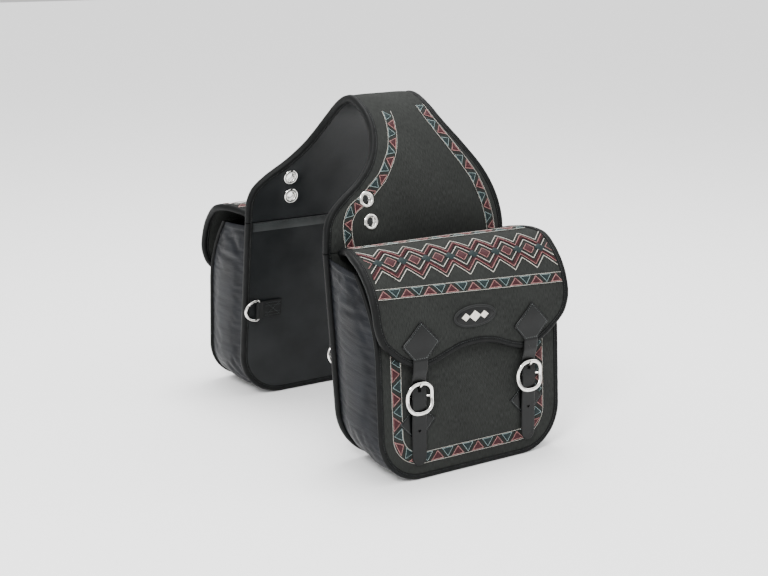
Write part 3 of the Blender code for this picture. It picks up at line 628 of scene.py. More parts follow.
def let_loose(points, held, outward, slack, pressure, most):
    """A grid of points after cloth with spare length has swollen, held where held is 1.

    The cloth is worked out on every second row and column, and no point moves further than most.
    """
    whole, n, m = points, *points.shape[:2]
    rows, columns = (np.linspace(0, k - 1, (k + 1) // 2).round().astype(int) for k in (n, m))
    points, held, outward = (grid[np.ix_(rows, columns)] for grid in (points, held, outward))
    index = np.arange(points[..., 0].size).reshape(points.shape[:2])
    faces = np.stack([index[:-1, :-1], index[:-1, 1:], index[1:, 1:], index[1:, :-1]], -1).reshape(-1, 4)
    flat = points.reshape(-1, 3)
    normal = np.cross(flat[faces[:, 2]] - flat[faces[:, 0]], flat[faces[:, 3]] - flat[faces[:, 1]])
    if (normal * outward.reshape(-1, 3)[faces[:, 0]]).sum() < 0:
        faces = faces[:, ::-1]
    mesh = bpy.data.meshes.new("loose cloth")
    mesh.from_pydata(flat.tolist(), [], faces.tolist())
    obj = bpy.data.objects.new("loose cloth", mesh)
    bpy.context.scene.collection.objects.link(obj)
    group = obj.vertex_groups.new(name="held")
    for weight in (0.25, 0.5, 0.75, 1.0):
        near = np.nonzero(np.abs(np.round(held.ravel() * 4) / 4 - weight) < 0.01)[0]
        group.add(near.tolist(), weight, "REPLACE")
    cloth = obj.modifiers.new("cloth", "CLOTH")
    cloth.settings.quality = 5
    cloth.settings.mass = 0.3
    cloth.settings.tension_stiffness = cloth.settings.compression_stiffness = 15.0
    cloth.settings.bending_stiffness = 0.05
    cloth.settings.use_pressure = True
    cloth.settings.uniform_pressure_force = pressure
    cloth.settings.shrink_min = -slack
    cloth.settings.vertex_group_mass = "held"
    cloth.settings.effector_weights.gravity = 0.0
    cloth.collision_settings.use_collision = False
    cloth.point_cache.frame_start, cloth.point_cache.frame_end = 1, CLOTH_FRAMES
    for step in range(1, CLOTH_FRAMES + 1):
        bpy.context.scene.frame_set(step)
    settle(obj)
    moved = np.empty(flat.size)
    obj.data.vertices.foreach_get("co", moved)
    bpy.data.objects.remove(obj)
    bpy.context.scene.frame_set(1)
    move = moved.reshape(-1, 3) - flat
    far = np.linalg.norm(move, axis=1, keepdims=True)
    move = (move * np.minimum(1.0, most / np.maximum(far, 1e-9))).reshape(points.shape)
    return whole + refine(refine(move, rows, n), columns, m, 1)


def swollen(place, a, b, held, height, slack=0.012, pressure=4.0):
    """Padding raised by the cloth solver between its seams, scaled to the height of its foam."""
    flat = place(a, b, np.zeros_like(a))
    outward = place(a, b, np.ones_like(a)) - flat
    moved = let_loose(flat, held, outward, slack, pressure, 0.016)
    rise = np.maximum(((moved - flat) * outward).sum(axis=-1), 0)
    if rise.max() < 0.1 * MM:
        rise = 1 - held
    return height * np.minimum(rise / np.percentile(rise, 96), 1.15)


def yoke_edges(along):
    y, z = ARCH(along, 0.0)
    return through(YOKE_FRONT_EDGE, z - FOLD), through(YOKE_REAR_EDGE, z - FOLD)


def build_yoke():
    along = np.linspace(0.0008, ARCH.length - 0.0008, 170)
    front, rear = yoke_edges(along)
    even = np.linspace(-1, 1, 84)
    share = (0.45 * np.sin(even * math.pi / 2) + 0.55 * even + 1) / 2
    a = (front + 0.002)[:, None] + (rear - front - 0.004)[:, None] * share[None, :]
    b = np.repeat(along[:, None], a.shape[1], axis=1)
    depth = np.minimum(a - front[:, None], rear[:, None] - a)
    depth = np.minimum(depth, np.minimum(b, ARCH.length - b) + 0.004)
    swell = puff(depth - 0.004, 2.2 * MM, 0.018) + 0.7 * MM * mottle(a, b, 3, 0.07)
    holes = [
        (x, float(arch_along(side, height)), 0.0078, 0.0078) for _, side in SIDES for x, height in TIE_HOLES
    ]
    for x, y, _, _ in holes:
        swell = swell * (1 - np.exp(-((np.hypot(a - x, b - y) / 0.0165) ** 6)))
    cover = sheet_mesh("yoke_canvas", on_yoke, a, b, 0.2 * MM, SHEET + swell, CANVAS, holes)
    finished(cover, "bag", "canvas", "yoke_cover", "yoke_padding")
    under = SHEET + 0.4 * swell
    lining = sheet_mesh("yoke_smooth_lining", on_yoke, a, b, -under, -0.2 * MM, LINING, holes)
    finished(lining, "bag", "vinyl", "yoke_lining")
    for part, edge in (("front", front), ("rear", rear)):
        path = np.column_stack([edge, along])
        into = inward(path, (0.0, ARCH.length / 2))
        tape = bound_edge("yoke_tape_" + part, path, into, on_yoke, -SHEET, SHEET, TAPE_CLOTH, seed=5)
        finished(tape, "bag", "binding_tape", "yoke_binding_" + part)
        SEAMS.extend(furrow_lines(path, into, on_yoke, -SHEET, SHEET))


def build_pocket(pocket, side):
    on_back, on_front, on_flap = pocket_surfaces(side)
    seed = 20 + 10 * (side > 0)

    # Inner wall: canvas outside, smooth lining on the saddle's side
    top = FOLD - 0.0004
    a, b = u_grid(HALF_WIDTH, BACK_CORNER, 0.002, top)
    depth = u_depth(a, b, HALF_WIDTH, BACK_CORNER)
    swell = puff(depth - 0.006, 1.5 * MM, 0.015) + 0.5 * MM * mottle(a, b, seed, 0.06)
    wall = sheet_mesh(pocket + "_inner_wall", on_back, a, b, -0.2 * MM, SHEET + 0.3 * swell, CANVAS)
    finished(wall, "bag", "canvas", pocket + "_back_panel")
    turned = 0.35 * MM * np.exp(-(((top - b - 0.012) / 0.0018) ** 2))
    lining = sheet_mesh(pocket + "_smooth_lining", on_back, a, b, -SHEET - swell + turned, -0.3 * MM, LINING)
    finished(lining, "bag", "vinyl", pocket + "_back_lining")
    reach = HALF_WIDTH - 0.009
    a, b = np.meshgrid(np.linspace(-reach, reach, 90), np.linspace(top - 0.0015, top - 0.0130, 12))
    rounded = 0.5 * MM * np.sin(np.clip((top - b - 0.0015) / 0.0115, 0, 1) * math.pi)
    ripples = 0.15 * MM * ripple(a, seed + 9, (0.013, 0.021))
    # The turned hem and the fold cord use the lighter hem vinyl: their paler colour is a painted highlight along the
    # fold.
    hem = sheet_mesh(pocket + "_turned_hem", on_back, a, b, -SHEET - 2.1 * MM - rounded - ripples, -SHEET, HEM_PAINTED_HIGHLIGHT)
    finished(hem, "bag", "vinyl")
    # A cord along the fold in the lighter vinyl: a painted bright line where the fold catches the light.
    cord_path = on_back(np.linspace(-reach, reach, 60), np.full(60, top - 0.0006), -SHEET - 1.2 * MM)
    fold_edge = wire(pocket + "_fold_highlight_cord", cord_path, (0.0, 1.0, 0.0), (0.0, 0.0, 1.0), 0.9 * MM, 0.8 * MM, HEM_PAINTED_HIGHLIGHT)
    finished(fold_edge, "bag", "vinyl")
    x, z = np.linspace(-0.1065, -0.0845, 20), RING_BAR_Z
    for rise in (-0.0095, -0.0050, 0.0050, 0.0095):
        TAB_SEAMS.append(on_back(x, np.full(20, z + rise), -9.0 * MM))
    for start, end in ((-0.0095, 0.0095), (0.0095, -0.0095)):
        TAB_SEAMS.append(on_back(x, z + np.linspace(start, end, 20), -9.0 * MM))
    path, into = u_path(HALF_WIDTH, BACK_CORNER, 0.0, top)
    tape = bound_edge(pocket + "_inner_tape", path, into, on_back, -SHEET, SHEET, TAPE_CLOTH, seed=seed + 1)
    finished(tape, "bag", "binding_tape", pocket + "_back_binding")
    SEAMS.extend(furrow_lines(path, into, on_back, -SHEET, SHEET))

    # Front panel
    top = FOLD - 0.010
    a, b = u_grid(HALF_WIDTH, FRONT_CORNER, 0.0015, top)
    depth = u_depth(a, b, HALF_WIDTH, FRONT_CORNER)
    held = np.clip((0.0085 - depth) / 0.003, 0, 1)
    swell = swollen(on_front, a, b, held, 1.9 * MM) + 0.35 * MM * mottle(a, b, seed + 2, 0.05)
    for x in STRAP_X:
        pressed = np.hypot((a - x) / 0.0145, (b - FOLD + 0.174) / 0.027)
        swell = swell * (1 - np.exp(-(pressed**6)))
    panel = sheet_mesh(pocket + "_front_canvas", on_front, a, b, -FRONT_THICKNESS, swell, CANVAS)
    finished(panel, "bag", "canvas", pocket + "_front_panel")
    path, into = u_path(HALF_WIDTH, FRONT_CORNER, 0.0, top)
    tape = bound_edge(
        pocket + "_front_tape", path, into, on_front, -FRONT_THICKNESS, 0.0, TAPE_CLOTH, leg=0.0072, seed=seed + 4
    )
    finished(tape, "bag", "binding_tape", pocket + "_front_binding")
    SEAMS.extend(furrow_lines(path, into, on_front, -FRONT_THICKNESS, 0.0, leg=0.0072))
    build_gusset(pocket, side, seed)
    build_flap(pocket, side, seed, on_flap)


def build_gusset(pocket, side, seed):
    """The U strip between the walls, creased across where its extra length is gathered into the seams."""
    sides, arc, bottom = 92, 46, 104
    back, into_back = u_path(HALF_WIDTH, BACK_CORNER, 0.0046, FOLD - 0.006, sides, arc, bottom)
    front, into_front = u_path(HALF_WIDTH, FRONT_CORNER, 0.0028, FOLD - 0.011, sides, arc, bottom)
    start = LEG + SPLAY * (FOLD - back[:, 1]) + SHEET + 1.2 * MM
    end = front_face(FOLD - front[:, 1]) - FRONT_THICKNESS - 1.2 * MM
    run = lengths_along(back)
    share = np.linspace(0, 1, 34)
    s, length = np.meshgrid(share, run)
    into = into_back[:, None, :] * (1 - s[..., None]) + into_front[:, None, :] * s[..., None]
    flat = back[:, None, :] * (1 - s[..., None]) + front[:, None, :] * s[..., None]
    depth = start[:, None] * (1 - s) + end[:, None] * s
    free = 4 * s * (1 - s)
    seam = np.exp(-s / 0.10) + np.exp(-(1 - s) / 0.10)
    drift = length + 0.0025 * np.sin(5 * s + length * 23)
    puckers = 0.85 * MM * ripple(drift, seed + 5, (0.0062, 0.0095, 0.0145)) * seam * np.clip(free * 9, 0, 1)
    folds = 0.35 * MM * ripple(drift + 0.010 * s, seed + 6, (0.034, 0.049, 0.021)) * free
    patchy = 0.5 + 0.5 * mottle(s * 0.1, length, seed, 0.06)
    folds = folds + 0.35 * MM * ripple(drift - 0.008 * s, seed + 8, (0.0078, 0.0115)) * free * patchy
    below_mouth = np.minimum(length, run[-1] - length)
    sag = 2.0 * MM * np.exp(-(((below_mouth - 0.048) / 0.011) ** 2)) * np.sin(length / 0.0032 + 3 * s) * free
    hem = 0.7 * MM * np.exp(-(((below_mouth - 0.0075) / 0.0016) ** 2))
    bulge = 0.0043 * free + puckers + folds + 0.6 * sag - hem
    fade = np.clip(below_mouth / 0.004, 0, 1)

    def place(a, b, offset):
        shift = (bulge * (0.35 + 0.65 * fade) + offset)[..., None]
        moved = flat - into * shift
        # the underside lies flat on what the bags stand on
        lowest = 0.6 * MM + 0.8 * np.maximum(-offset, 0)
        return stack(moved[..., 0], side * depth, np.maximum(moved[..., 1], lowest))

    across = np.arange(1, len(share) + 1) / len(share) * 0.105
    a, b = np.meshgrid(across, run)
    outside = place(a, b, np.zeros_like(a))
    at_seam = np.clip(1.6 - 12 * np.minimum(s, 1 - s), 0, 1)
    held = np.maximum(at_seam, np.clip((0.012 - below_mouth) / 0.004, 0, 1))
    loose = let_loose(outside, held, outside - place(a, b, -np.ones_like(a)), 0.016, 0.5, 1.6 * MM)
    loose[..., 2] = np.maximum(loose[..., 2], 0.6 * MM)
    made = sheet_mesh(pocket + "_gusset_vinyl", place, a, b, -2.2 * MM, 0.0, GUSSET, top=loose)
    finished(made, "bag", "vinyl", pocket + "_gusset")
    grid = place(a, b, np.full(a.shape, 0.1 * MM))
    for hem_seam in (0.0072, run[-1] - 0.0072):
        SEAMS.append(grid[int(np.argmin(np.abs(run - hem_seam))), 2:-2])


def flap_half(along):
    """Half the flap's width: drawn in at the fold, full width past the crest."""
    share = np.clip(along / 0.085, 0, 1)
    return FLAP_HALF_WIDTH - 0.024 * (1 - share * share * (3 - 2 * share))


def build_flap(pocket, side, seed, on_flap):
    share = (0.55 * np.sin(np.linspace(-math.pi / 2, math.pi / 2, 92)) + 0.45 * np.linspace(-1, 1, 92))
    x = (FLAP_HALF_WIDTH - 0.002) * share
    edge = flap_edge_along(x)
    down = np.linspace(0, 1, 92)
    down = 0.7 * down + 0.3 * np.sin(down * math.pi / 2)
    b = (edge - 0.002)[None, :] * down[:, None]
    a = x[None, :] * flap_half(b) / FLAP_HALF_WIDTH
    depth = np.minimum(flap_half(b) - np.abs(a), (edge[None, :] - b) * 0.8)
    held = np.clip((0.0095 - depth) / 0.003, 0, 1)
    swell = swollen(on_flap, a, b, held, 1.3 * MM) + 0.25 * MM * mottle(a, b, seed + 7, 0.05)
    thick = FLAP_THICKNESS * np.clip(0.45 + b / 0.03, 0, 1)
    flap = sheet_mesh(pocket + "_flap_canvas", on_flap, a, b, -thick, swell, CANVAS)
    finished(flap, "bag", "canvas", pocket + "_flap")
    around = np.linspace(-FLAP_HALF_WIDTH + 0.0002, FLAP_HALF_WIDTH - 0.0002, 150)
    corner = flap_edge_along(np.array([FLAP_HALF_WIDTH]))[0]
    down = np.linspace(0.0, corner, 60, endpoint=False)
    left = np.column_stack([-flap_half(down), down])
    lower = np.column_stack([around, flap_edge_along(around)])
    path = even_path(np.concatenate([left, lower, left[::-1] * [-1, 1]]), 330)
    soft = averaged(path, 4)
    into = averaged(inward(soft, (0.0, 0.08)), 6)
    into /= np.linalg.norm(into, axis=1)[:, None]
    tape = bound_edge(pocket + "_flap_tape", soft, into, on_flap, -FLAP_THICKNESS, 0.0, TAPE_CLOTH, seed=seed + 8)
    finished(tape, "bag", "binding_tape", pocket + "_flap_binding")
    SEAMS.extend(furrow_lines(soft, into, on_flap, -FLAP_THICKNESS, 0.0)[:1])


# Leather, badge and metal


def strap_section():
    """Back face of a strap: over the flap, behind the rails and before the bar, down the front panel."""
    start = FLAP.along_at_height(FOLD - 0.063)
    lip = FLAP.along_at_height(FOLD - 0.1245)
    over_tape = TAPE + 1.0 * MM
    along = np.linspace(start, lip, 40)
    off = np.interp(along, (start, lip - 0.026, lip - 0.012, lip), (1.5 * MM, 1.6 * MM, over_tape, over_tape))
    upper = np.column_stack(FLAP(along, off)) - np.array([0.0, FOLD])
    drops = np.array([0.142, 0.1515, 0.161, 0.1705, 0.180, 0.196, 0.2185, 0.236, 0.249])
    offs = np.array([6.4, 7.0, 7.3, 7.0, 6.4, 4.9, 4.0, 3.4, 3.2]) * MM
    run = np.column_stack([front_face(drops) + offs, -drops])
    lower = smooth_path(np.concatenate([upper[-1:], run]), 120)
    return Section(np.concatenate([upper[:-1], lower]) + np.array([0.0, FOLD]))


def leather_sheet(name, section, stations, x, side, low, high, finish, holes=(), neck=None):
    """A strap cut to (length, half width) stations: a rounded edge, a stitched furrow, and one across its neck."""
    columns = 25
    stations = np.array(stations)
    b = np.linspace(stations[0, 0], stations[-1, 0], 130)
    half = np.interp(b, *stations.T)
    across = 0.6 * np.sin(np.linspace(-math.pi / 2, math.pi / 2, columns)) + 0.4 * np.linspace(-1, 1, columns)
    a = half[:, None] * across[None, :]
    b = np.repeat(b[:, None], columns, axis=1)
    rim = half[:, None] - np.abs(a)
    ends = np.minimum(b - stations[0, 0], stations[-1, 0] - b)
    sewn = np.ones_like(b) if neck is None else 1 / (1 + np.exp((b - neck) / (0.6 * MM)))
    crease = 0.55 * MM * sewn * np.exp(-(((rim - 2.1 * MM) / (0.7 * MM)) ** 2))
    if neck is not None:
        crease = np.maximum(crease, 0.6 * MM * np.exp(-(((b - neck) / (0.9 * MM)) ** 2)))
    worn = 0.6 * MM * np.exp(-np.minimum(rim, ends) / (0.45 * MM)) + crease

    def place(a, b, offset):
        y, z = section(b, offset)
        return stack(x + a, side * y, z)

    under = low + 0.3 * MM * np.exp(-rim / (0.3 * MM))
    return sheet_mesh(name, place, a, b, under, high - worn, finish, holes), place


def build_strap(pocket, side, hand, x):
    section = strap_section()
    corner = section.along_at_height(FOLD - 0.091)
    neck = section.along_at_height(FOLD - 0.1105)
    end = section.length
    stations = [
        (0.0, 0.6 * MM), (corner, KITE_HALF_WIDTH), (neck, STRAP_HALF_WIDTH), (end - 0.012, STRAP_HALF_WIDTH),
        (end - 0.006, 0.9 * STRAP_HALF_WIDTH), (end - 0.002, 0.62 * STRAP_HALF_WIDTH),
        (end, 0.3 * STRAP_HALF_WIDTH),
    ]
    name = f"{pocket}_{hand}_strap"
    prong = section.along_at_height(FOLD - BUCKLE_DROP + 0.0122)
    spare = section.along_at_height(FOLD - 0.204)
    holes = ((0.0, prong, 0.0026, 0.0056), (0.0, spare, 0.0019, 0.0019))
    strap, place = leather_sheet(name, section, stations, x, side, 0.0, STRAP_THICKNESS, LEATHER, holes, neck)
    finished(strap, "bag", "leather", f"{pocket}_strap_{hand}")
    inset = 2.1 * MM
    neck_half, neck_seam = STRAP_HALF_WIDTH - inset, neck - 0.0012
    kite = [(0.0, 0.0028), (KITE_HALF_WIDTH - 1.35 * inset, corner), (neck_half, neck_seam)]
    lines = [np.array([(way * p, q) for p, q in kite]) for way in (-1, 1)]
    lines.append(np.array([(-neck_half, neck_seam), (neck_half, neck_seam)]))
    for line in lines:
        fine = even_path(line, 60)
        LEATHER_SEAMS.append(place(fine[:, 0], fine[:, 1], STRAP_THICKNESS - 0.15 * MM))
    build_chape(pocket, side, hand, x)


def build_chape(pocket, side, hand, x):
    """Leather turned over the buckle's bar: a short leg behind, a stitched kite in front, a slot for the tongue."""
    drops = np.linspace(0.194, 0.168, 20)
    behind = np.column_stack([front_face(drops) + 1.0 * MM, -drops])
    turn = np.radians(np.linspace(180, -30, 40))
    loop = np.array([BAR_AWAY, -BUCKLE_DROP]) + 2.65 * MM * np.column_stack([np.cos(turn), np.sin(turn)])
    drops = np.linspace(0.1715, 0.2215, 40)
    offs = np.interp(drops, (0.1715, 0.1780, 0.2215), (3.2 * MM, 2.25 * MM, 2.25 * MM))
    before = np.column_stack([front_face(drops) + offs, -drops])
    section = Section(np.concatenate([behind, loop, before]) + np.array([0.0, FOLD]))
    tip, kite = section.length, section.length - 0.0475
    stations = [
        (0.0, 0.0088), (0.004, 0.0095), (kite + 0.006, 0.0095), (kite + 0.0185, KITE_HALF_WIDTH),
        (tip, 0.7 * MM),
    ]
    middle = 0.0331 + 2.65 * MM * math.radians(105)
    name = f"{pocket}_{hand}_chape"
    half = 0.75 * MM
    slot = ((0.0, middle, 0.0031, 0.0088),)
    piece, place = leather_sheet(name, section, stations, x, side, -half, half, LEATHER, slot)
    finished(piece, "bag", "leather", f"{pocket}_chape_{hand}")
    places, halves = np.array(stations).T
    area = float((np.diff(places) * (halves[1:] + halves[:-1])).sum())
    area = max(0.3 * 0.055 * tip, area)
    side_corner = KITE_HALF_WIDTH - 2.8 * MM
    for way in (-1, 1):
        corners = [(way * 0.0078, kite + 0.0030), (way * side_corner, kite + 0.0185), (0.0, tip - 0.0030)]
        LEATHER_SEAMS.append(place(*even_path(np.array(corners), 60).T, 0.60 * MM))
    LEATHER_SEAMS.append(place(np.linspace(-0.0078, 0.0078, 30), np.full(30, kite + 0.0030), 0.60 * MM))


def build_badge(pocket, side):
    """An oval patch with a satin-stitched rim and three plain lozenges."""
    _, _, on_flap = pocket_surfaces(side)
    middle, wide, high = 0.1815, 0.0285, 0.0108
    turn = np.linspace(0, 2 * math.pi, 96, endpoint=False)

    def oval(size, offset):
        return on_flap(BADGE_X + size * wide * np.cos(turn), middle + size * high * np.sin(turn), offset)

    lift = 1.6 * MM
    rings = [oval(1.0, 0.2 * MM), oval(1.0, lift)]
    rings += [oval(s, lift + 0.7 * MM) for s in (0.97, 0.8, 0.5, 0.2, 0.02)]
    patch = ring_mesh(pocket + "_badge_patch", rings, PATCH)
    finished(patch, "bag", "badge_patch", pocket + "_badge")
    around = np.linspace(0, 2 * math.pi, 10, endpoint=False)
    rim = []
    for t in turn:
        centre = np.array([1.06 * wide * math.cos(t), middle + 1.10 * high * math.sin(t)])
        out = np.array([math.cos(t) * high, math.sin(t) * wide])
        out /= np.linalg.norm(out)
        flat = centre + np.array([BADGE_X, 0.0]) + 2.0 * MM * np.cos(around)[:, None] * out
        rim.append(on_flap(flat[:, 0], flat[:, 1], lift + 0.1 * MM + 0.9 * MM * np.sin(around)))
    border = ring_mesh(pocket + "_badge_rim", rim, PATCH_THREAD, closed=True)
    finished(border, "bag", "badge_patch")
    lozenges = []
    for k in (-1, 0, 1):
        wide_k, high_k = (0.0088, 0.0070) if k == 0 else (0.0064, 0.0050)
        x = BADGE_X + k * 0.0140
        lozenges.append(((x - wide_k, middle), (x, middle - high_k), (x + wide_k, middle), (x, middle + high_k)))
    marks = patches(pocket + "_badge_lozenges", on_flap, lozenges, 2.5 * MM, 3.1 * MM, PALE_SATIN)
    finished(marks, "bag", "badge_patch")


# Needlework


def patches(name, place, outlines, low, high, finish):
    """Raised satin-stitched fields, each with four flat corners."""
    made = []
    u, v = np.meshgrid(np.linspace(0, 1, 7), np.linspace(0, 1, 7))
    crown = (1 - (2 * u - 1) ** 4) * (1 - (2 * v - 1) ** 4)
    for outline in outlines:
        p, q, r, s = (np.array(c) for c in outline)
        flat = (
            ((1 - u) * (1 - v))[..., None] * p + (u * (1 - v))[..., None] * q
            + (u * v)[..., None] * r + ((1 - u) * v)[..., None] * s
        )
        rise = high * (0.45 + 0.55 * crown)
        a, b = flat[..., 0], flat[..., 1]
        made.append(sheet_mesh(name + "_one", place, a, b, low - 0.4 * MM, np.maximum(rise, low), finish))
    return join(name, made)


def stitch_tree():
    """Turns lines into stitches laid end to end, each a small rounded thread along its line."""
    tree = bpy.data.node_groups.new("stitches_along_lines", "GeometryNodeTree")
    face = tree.interface
    face.new_socket("Geometry", in_out="INPUT", socket_type="NodeSocketGeometry")
    for label in ("Spacing", "Length", "Width", "Height"):
        face.new_socket(label, in_out="INPUT", socket_type="NodeSocketFloat")
    face.new_socket("Thread", in_out="INPUT", socket_type="NodeSocketMaterial")
    face.new_socket("Geometry", in_out="OUTPUT", socket_type="NodeSocketGeometry")
    group_in, group_out = tree.nodes.new("NodeGroupInput"), tree.nodes.new("NodeGroupOutput")
    curve = node(tree, "GeometryNodeMeshToCurve", links={"Mesh": group_in.outputs["Geometry"]})
    even = tree.nodes.new("GeometryNodeResampleCurve")
    if hasattr(even, "mode"):
        even.mode = "LENGTH"
    else:
        even.inputs["Mode"].default_value = "Length"
    tree.links.new(curve.outputs["Curve"], even.inputs["Curve"])
    tree.links.new(group_in.outputs["Spacing"], even.inputs["Length"])
    thread = node(tree, "GeometryNodeMeshUVSphere", Segments=4, Rings=3, Radius=0.5)
    sides = {axis: group_in.outputs[label] for axis, label in (("X", "Width"), ("Y", "Height"), ("Z", "Length"))}
    size = node(tree, "ShaderNodeCombineXYZ", links=sides)
    way = tree.nodes.new("GeometryNodeInputTangent")
    turn = node(tree, "FunctionNodeAlignRotationToVector", {"axis": "Z"}, {"Vector": way.outputs["Tangent"]})
    placed = node(
        tree, "GeometryNodeInstanceOnPoints",
        links={
            "Points": even.outputs["Curve"], "Instance": thread.outputs["Mesh"],
            "Rotation": turn.outputs["Rotation"], "Scale": size.outputs["Vector"],
        },
    )
    real = node(tree, "GeometryNodeRealizeInstances", links={"Geometry": placed.outputs["Instances"]})
    smooth = node(tree, "GeometryNodeSetShadeSmooth", links={0: real.outputs["Geometry"]})
    dye = {"Geometry": smooth.outputs[0], "Material": group_in.outputs["Thread"]}
    dyed = node(tree, "GeometryNodeSetMaterial", links=dye)
    tree.links.new(dyed.outputs["Geometry"], group_out.inputs["Geometry"])
    return tree


def stitched(name, lines, spacing, length, width, finish, slot="canvas", height=None):
    """One piece of stitches along lines of points in space."""
    points, edges, start = [], [], 0
    for line in lines:
        points.append(np.asarray(line))
        count = len(line)
        edges += [(start + i, start + i + 1) for i in range(count - 1)]
        start += count
    mesh = bpy.data.meshes.new(name)
    mesh.from_pydata(np.concatenate(points).tolist(), edges, [])
    obj = bpy.data.objects.new(name, mesh)
    bpy.context.scene.collection.objects.link(obj)
    layer = obj.modifiers.new("stitches", "NODES")
    layer.node_group = STITCHES
    values = {"Spacing": spacing, "Length": length, "Width": width, "Height": height or width, "Thread": finish}
    for item in STITCHES.interface.items_tree:
        if item.in_out == "INPUT" and item.name in values:
            layer[item.identifier] = values[item.name]
    obj.update_tag()
    settle(obj)
    if not obj.data.materials:
        obj.data.materials.append(finish)
    return finished(obj, "bag", slot)


class Needlework:
    """Collects flat lines and fields by colour, then stitches each colour in one piece."""

    def __init__(self, place, rise, eyelets=()):
        self.place, self.rise, self.eyelets = place, rise, eyelets
        self.lines = {}
        self.fields = {}

    def clear(self, points, reach):
        """Which flat points are at least this far from every eyelet."""
        away = [np.hypot(points[:, 0] - x, points[:, 1] - y) > reach for x, y in self.eyelets]
        return np.all(away, axis=0) if away else np.ones(len(points), bool)

    def line(self, dye, points, keep=None, step=0.0015):
        points = np.array(points, float)
        length = np.linalg.norm(np.diff(points, axis=0), axis=1).sum()
        fine = even_path(points, max(2, int(length / step)))
        inside = self.clear(fine, LINE_CLEARANCE)
        if keep is not None:
            inside &= keep(fine)
        start = None
        for i, good in enumerate(np.append(inside, False)):
            if good and start is None:
                start = i
            elif not good and start is not None:
                if i - start > 1:
                    placed = self.place(*fine[start:i].T, self.rise + 0.25 * MM)
                    self.lines.setdefault(dye, []).append(placed)
                start = None

    def field(self, dye, corners):
        if self.clear(np.array(corners), FIELD_CLEARANCE).all():
            self.fields.setdefault(dye, []).append(corners)


def draw_band(work, middle, square, half, pitch, first, wide_first, wide_second):
    """Two border lines with triangles between them, one colour standing on each line by turns."""
    run = lengths_along(middle)

    def at(along, across):
        point = np.array([np.interp(along, run, column) for column in middle.T])
        side = np.array([np.interp(along, run, column) for column in square.T])
        return point + across * side

    k, along = 0, first
    while along < run[-1] - 0.08 * pitch:
        warm = k % 2 == 0
        base, tip = (half - 1.2 * MM, -half + 1.8 * MM) if warm else (-half + 1.2 * MM, half - 1.8 * MM)
        wide = wide_first if warm else wide_second
        low, high = max(along - wide, 0.0), min(along + wide, run[-1])
        corners = [at(low, base), at(high, base), at(along, tip)]
        dye = "pink" if warm else "cyan"
        work.line(dye, corners + corners[:1])
        centre = sum(corners) / 3
        if warm:
            work.line(dye, [centre + 0.86 * (c - centre) for c in corners + corners[:1]])
        shrink = 0.66 if warm else 0.76
        inner = [centre + shrink * (c - centre) for c in corners]
        peak = [inner[2] + 0.02 * (inner[0] - inner[1]), inner[2] - 0.02 * (inner[0] - inner[1])]
        work.field("maroon" if warm else "teal", (inner[0], inner[1], peak[1], peak[0]))
        along += pitch / 2
        k += 1
    border = middle[run <= along - pitch / 2 + wide_first], square[run <= along - pitch / 2 + wide_first]
    for edge in (-half, half):
        work.line("white", border[0] + border[1] * edge)


TILT = 0.05  # the flap's needlework runs slightly downhill towards +X


def draw_flap(work):
    """Rows of lozenges between zigzags, and a triangle band on each side of them."""
    row, pitch = 0.1012, 0.0344
    limit = 0.1365

    def shift(points):
        points = np.array(points, float)
        return np.column_stack([points[:, 0], row + points[:, 1] + TILT * points[:, 0]])

    def keep(fine):
        return (np.abs(fine[:, 0]) < np.minimum(limit, flap_half(fine[:, 1]) - 0.0098)) & (fine[:, 1] > 0.004)

    knots = -0.1198 + pitch * np.arange(8)
    slope = 0.94
    for way in (-1, 1):
        for dye, peak, copies in (
            ("white", 0.0290, (0, 0.5)), ("pink", 0.0238, (0, 0.6)), ("maroon", 0.0222, (0, 1.05, 2.1, 3.1)),
        ):
            for copy in copies:
                points = []
                for k in range(-1, 9):
                    x = knots[0] + pitch * k
                    points.append((x, way * (peak - copy * MM - slope * pitch / 2)))
                    points.append((x + pitch / 2, way * (peak - copy * MM)))
                work.line(dye, shift(points), keep)
    for k in range(-1, 8):
        x = knots[0] + pitch * (k + 0.5)
        for dye, wide, high in (
            ("white", 0.0168, 0.0152), ("white", 0.0163, 0.0147), ("pink", 0.0086, 0.0079), ("pink", 0.0080, 0.0073),
        ):
            work.line(dye, shift([(x - wide, 0), (x, -high), (x + wide, 0), (x, high), (x - wide, 0)]), keep)
        if abs(x) < limit - 0.006:
            work.field("maroon", shift([(x - 0.0066, 0), (x, -0.0059), (x + 0.0066, 0), (x, 0.0059)]))
    for x in knots:
        work.field("teal_high", shift([(x - 0.0076, 0), (x, -0.0072), (x + 0.0076, 0), (x, 0.0072)]))
    for way, off, ends in ((-1, 0.0500, (-0.1290, 0.1270)), (1, 0.0432, (-0.1385, 0.1375))):
        x = np.linspace(*ends, 60)
        middle = np.column_stack([x, row + way * off + TILT * x])
        square = np.tile([0.0, float(way)], (60, 1))
        draw_band(work, middle, square, 0.0062, 0.0325, 0.0085, 0.0094, 0.0082)


def draw_front(work):
    path, into = u_path(0.1175, 0.045, 0.0, 0.225)
    path = path + np.array([-0.0045, 0.0])
    path[:, 1] = 0.0200 + path[:, 1] * (0.225 - 0.0200) / 0.225
    middle = path + into * 0.0078
    draw_band(work, middle, -into, 0.0071, 0.0312, 0.0216, 0.0092, 0.0080)


def draw_yoke(work, side):
    for band, pitch in ((YOKE_FRONT_BAND, 0.0272), (YOKE_REAR_BAND, 0.0292)):
        points = np.array(band)
        flat = np.column_stack([points[:, 1], arch_along(side, points[:, 0])])
        middle = smooth_path(flat, 90)
        run = heading(middle)
        square = np.column_stack([-run[:, 1], run[:, 0]])
        square *= np.where(square[:, :1] > 0, 1, -1)
        draw_band(work, middle, square, 0.0064, pitch, 0.004, 0.0078, 0.0072)


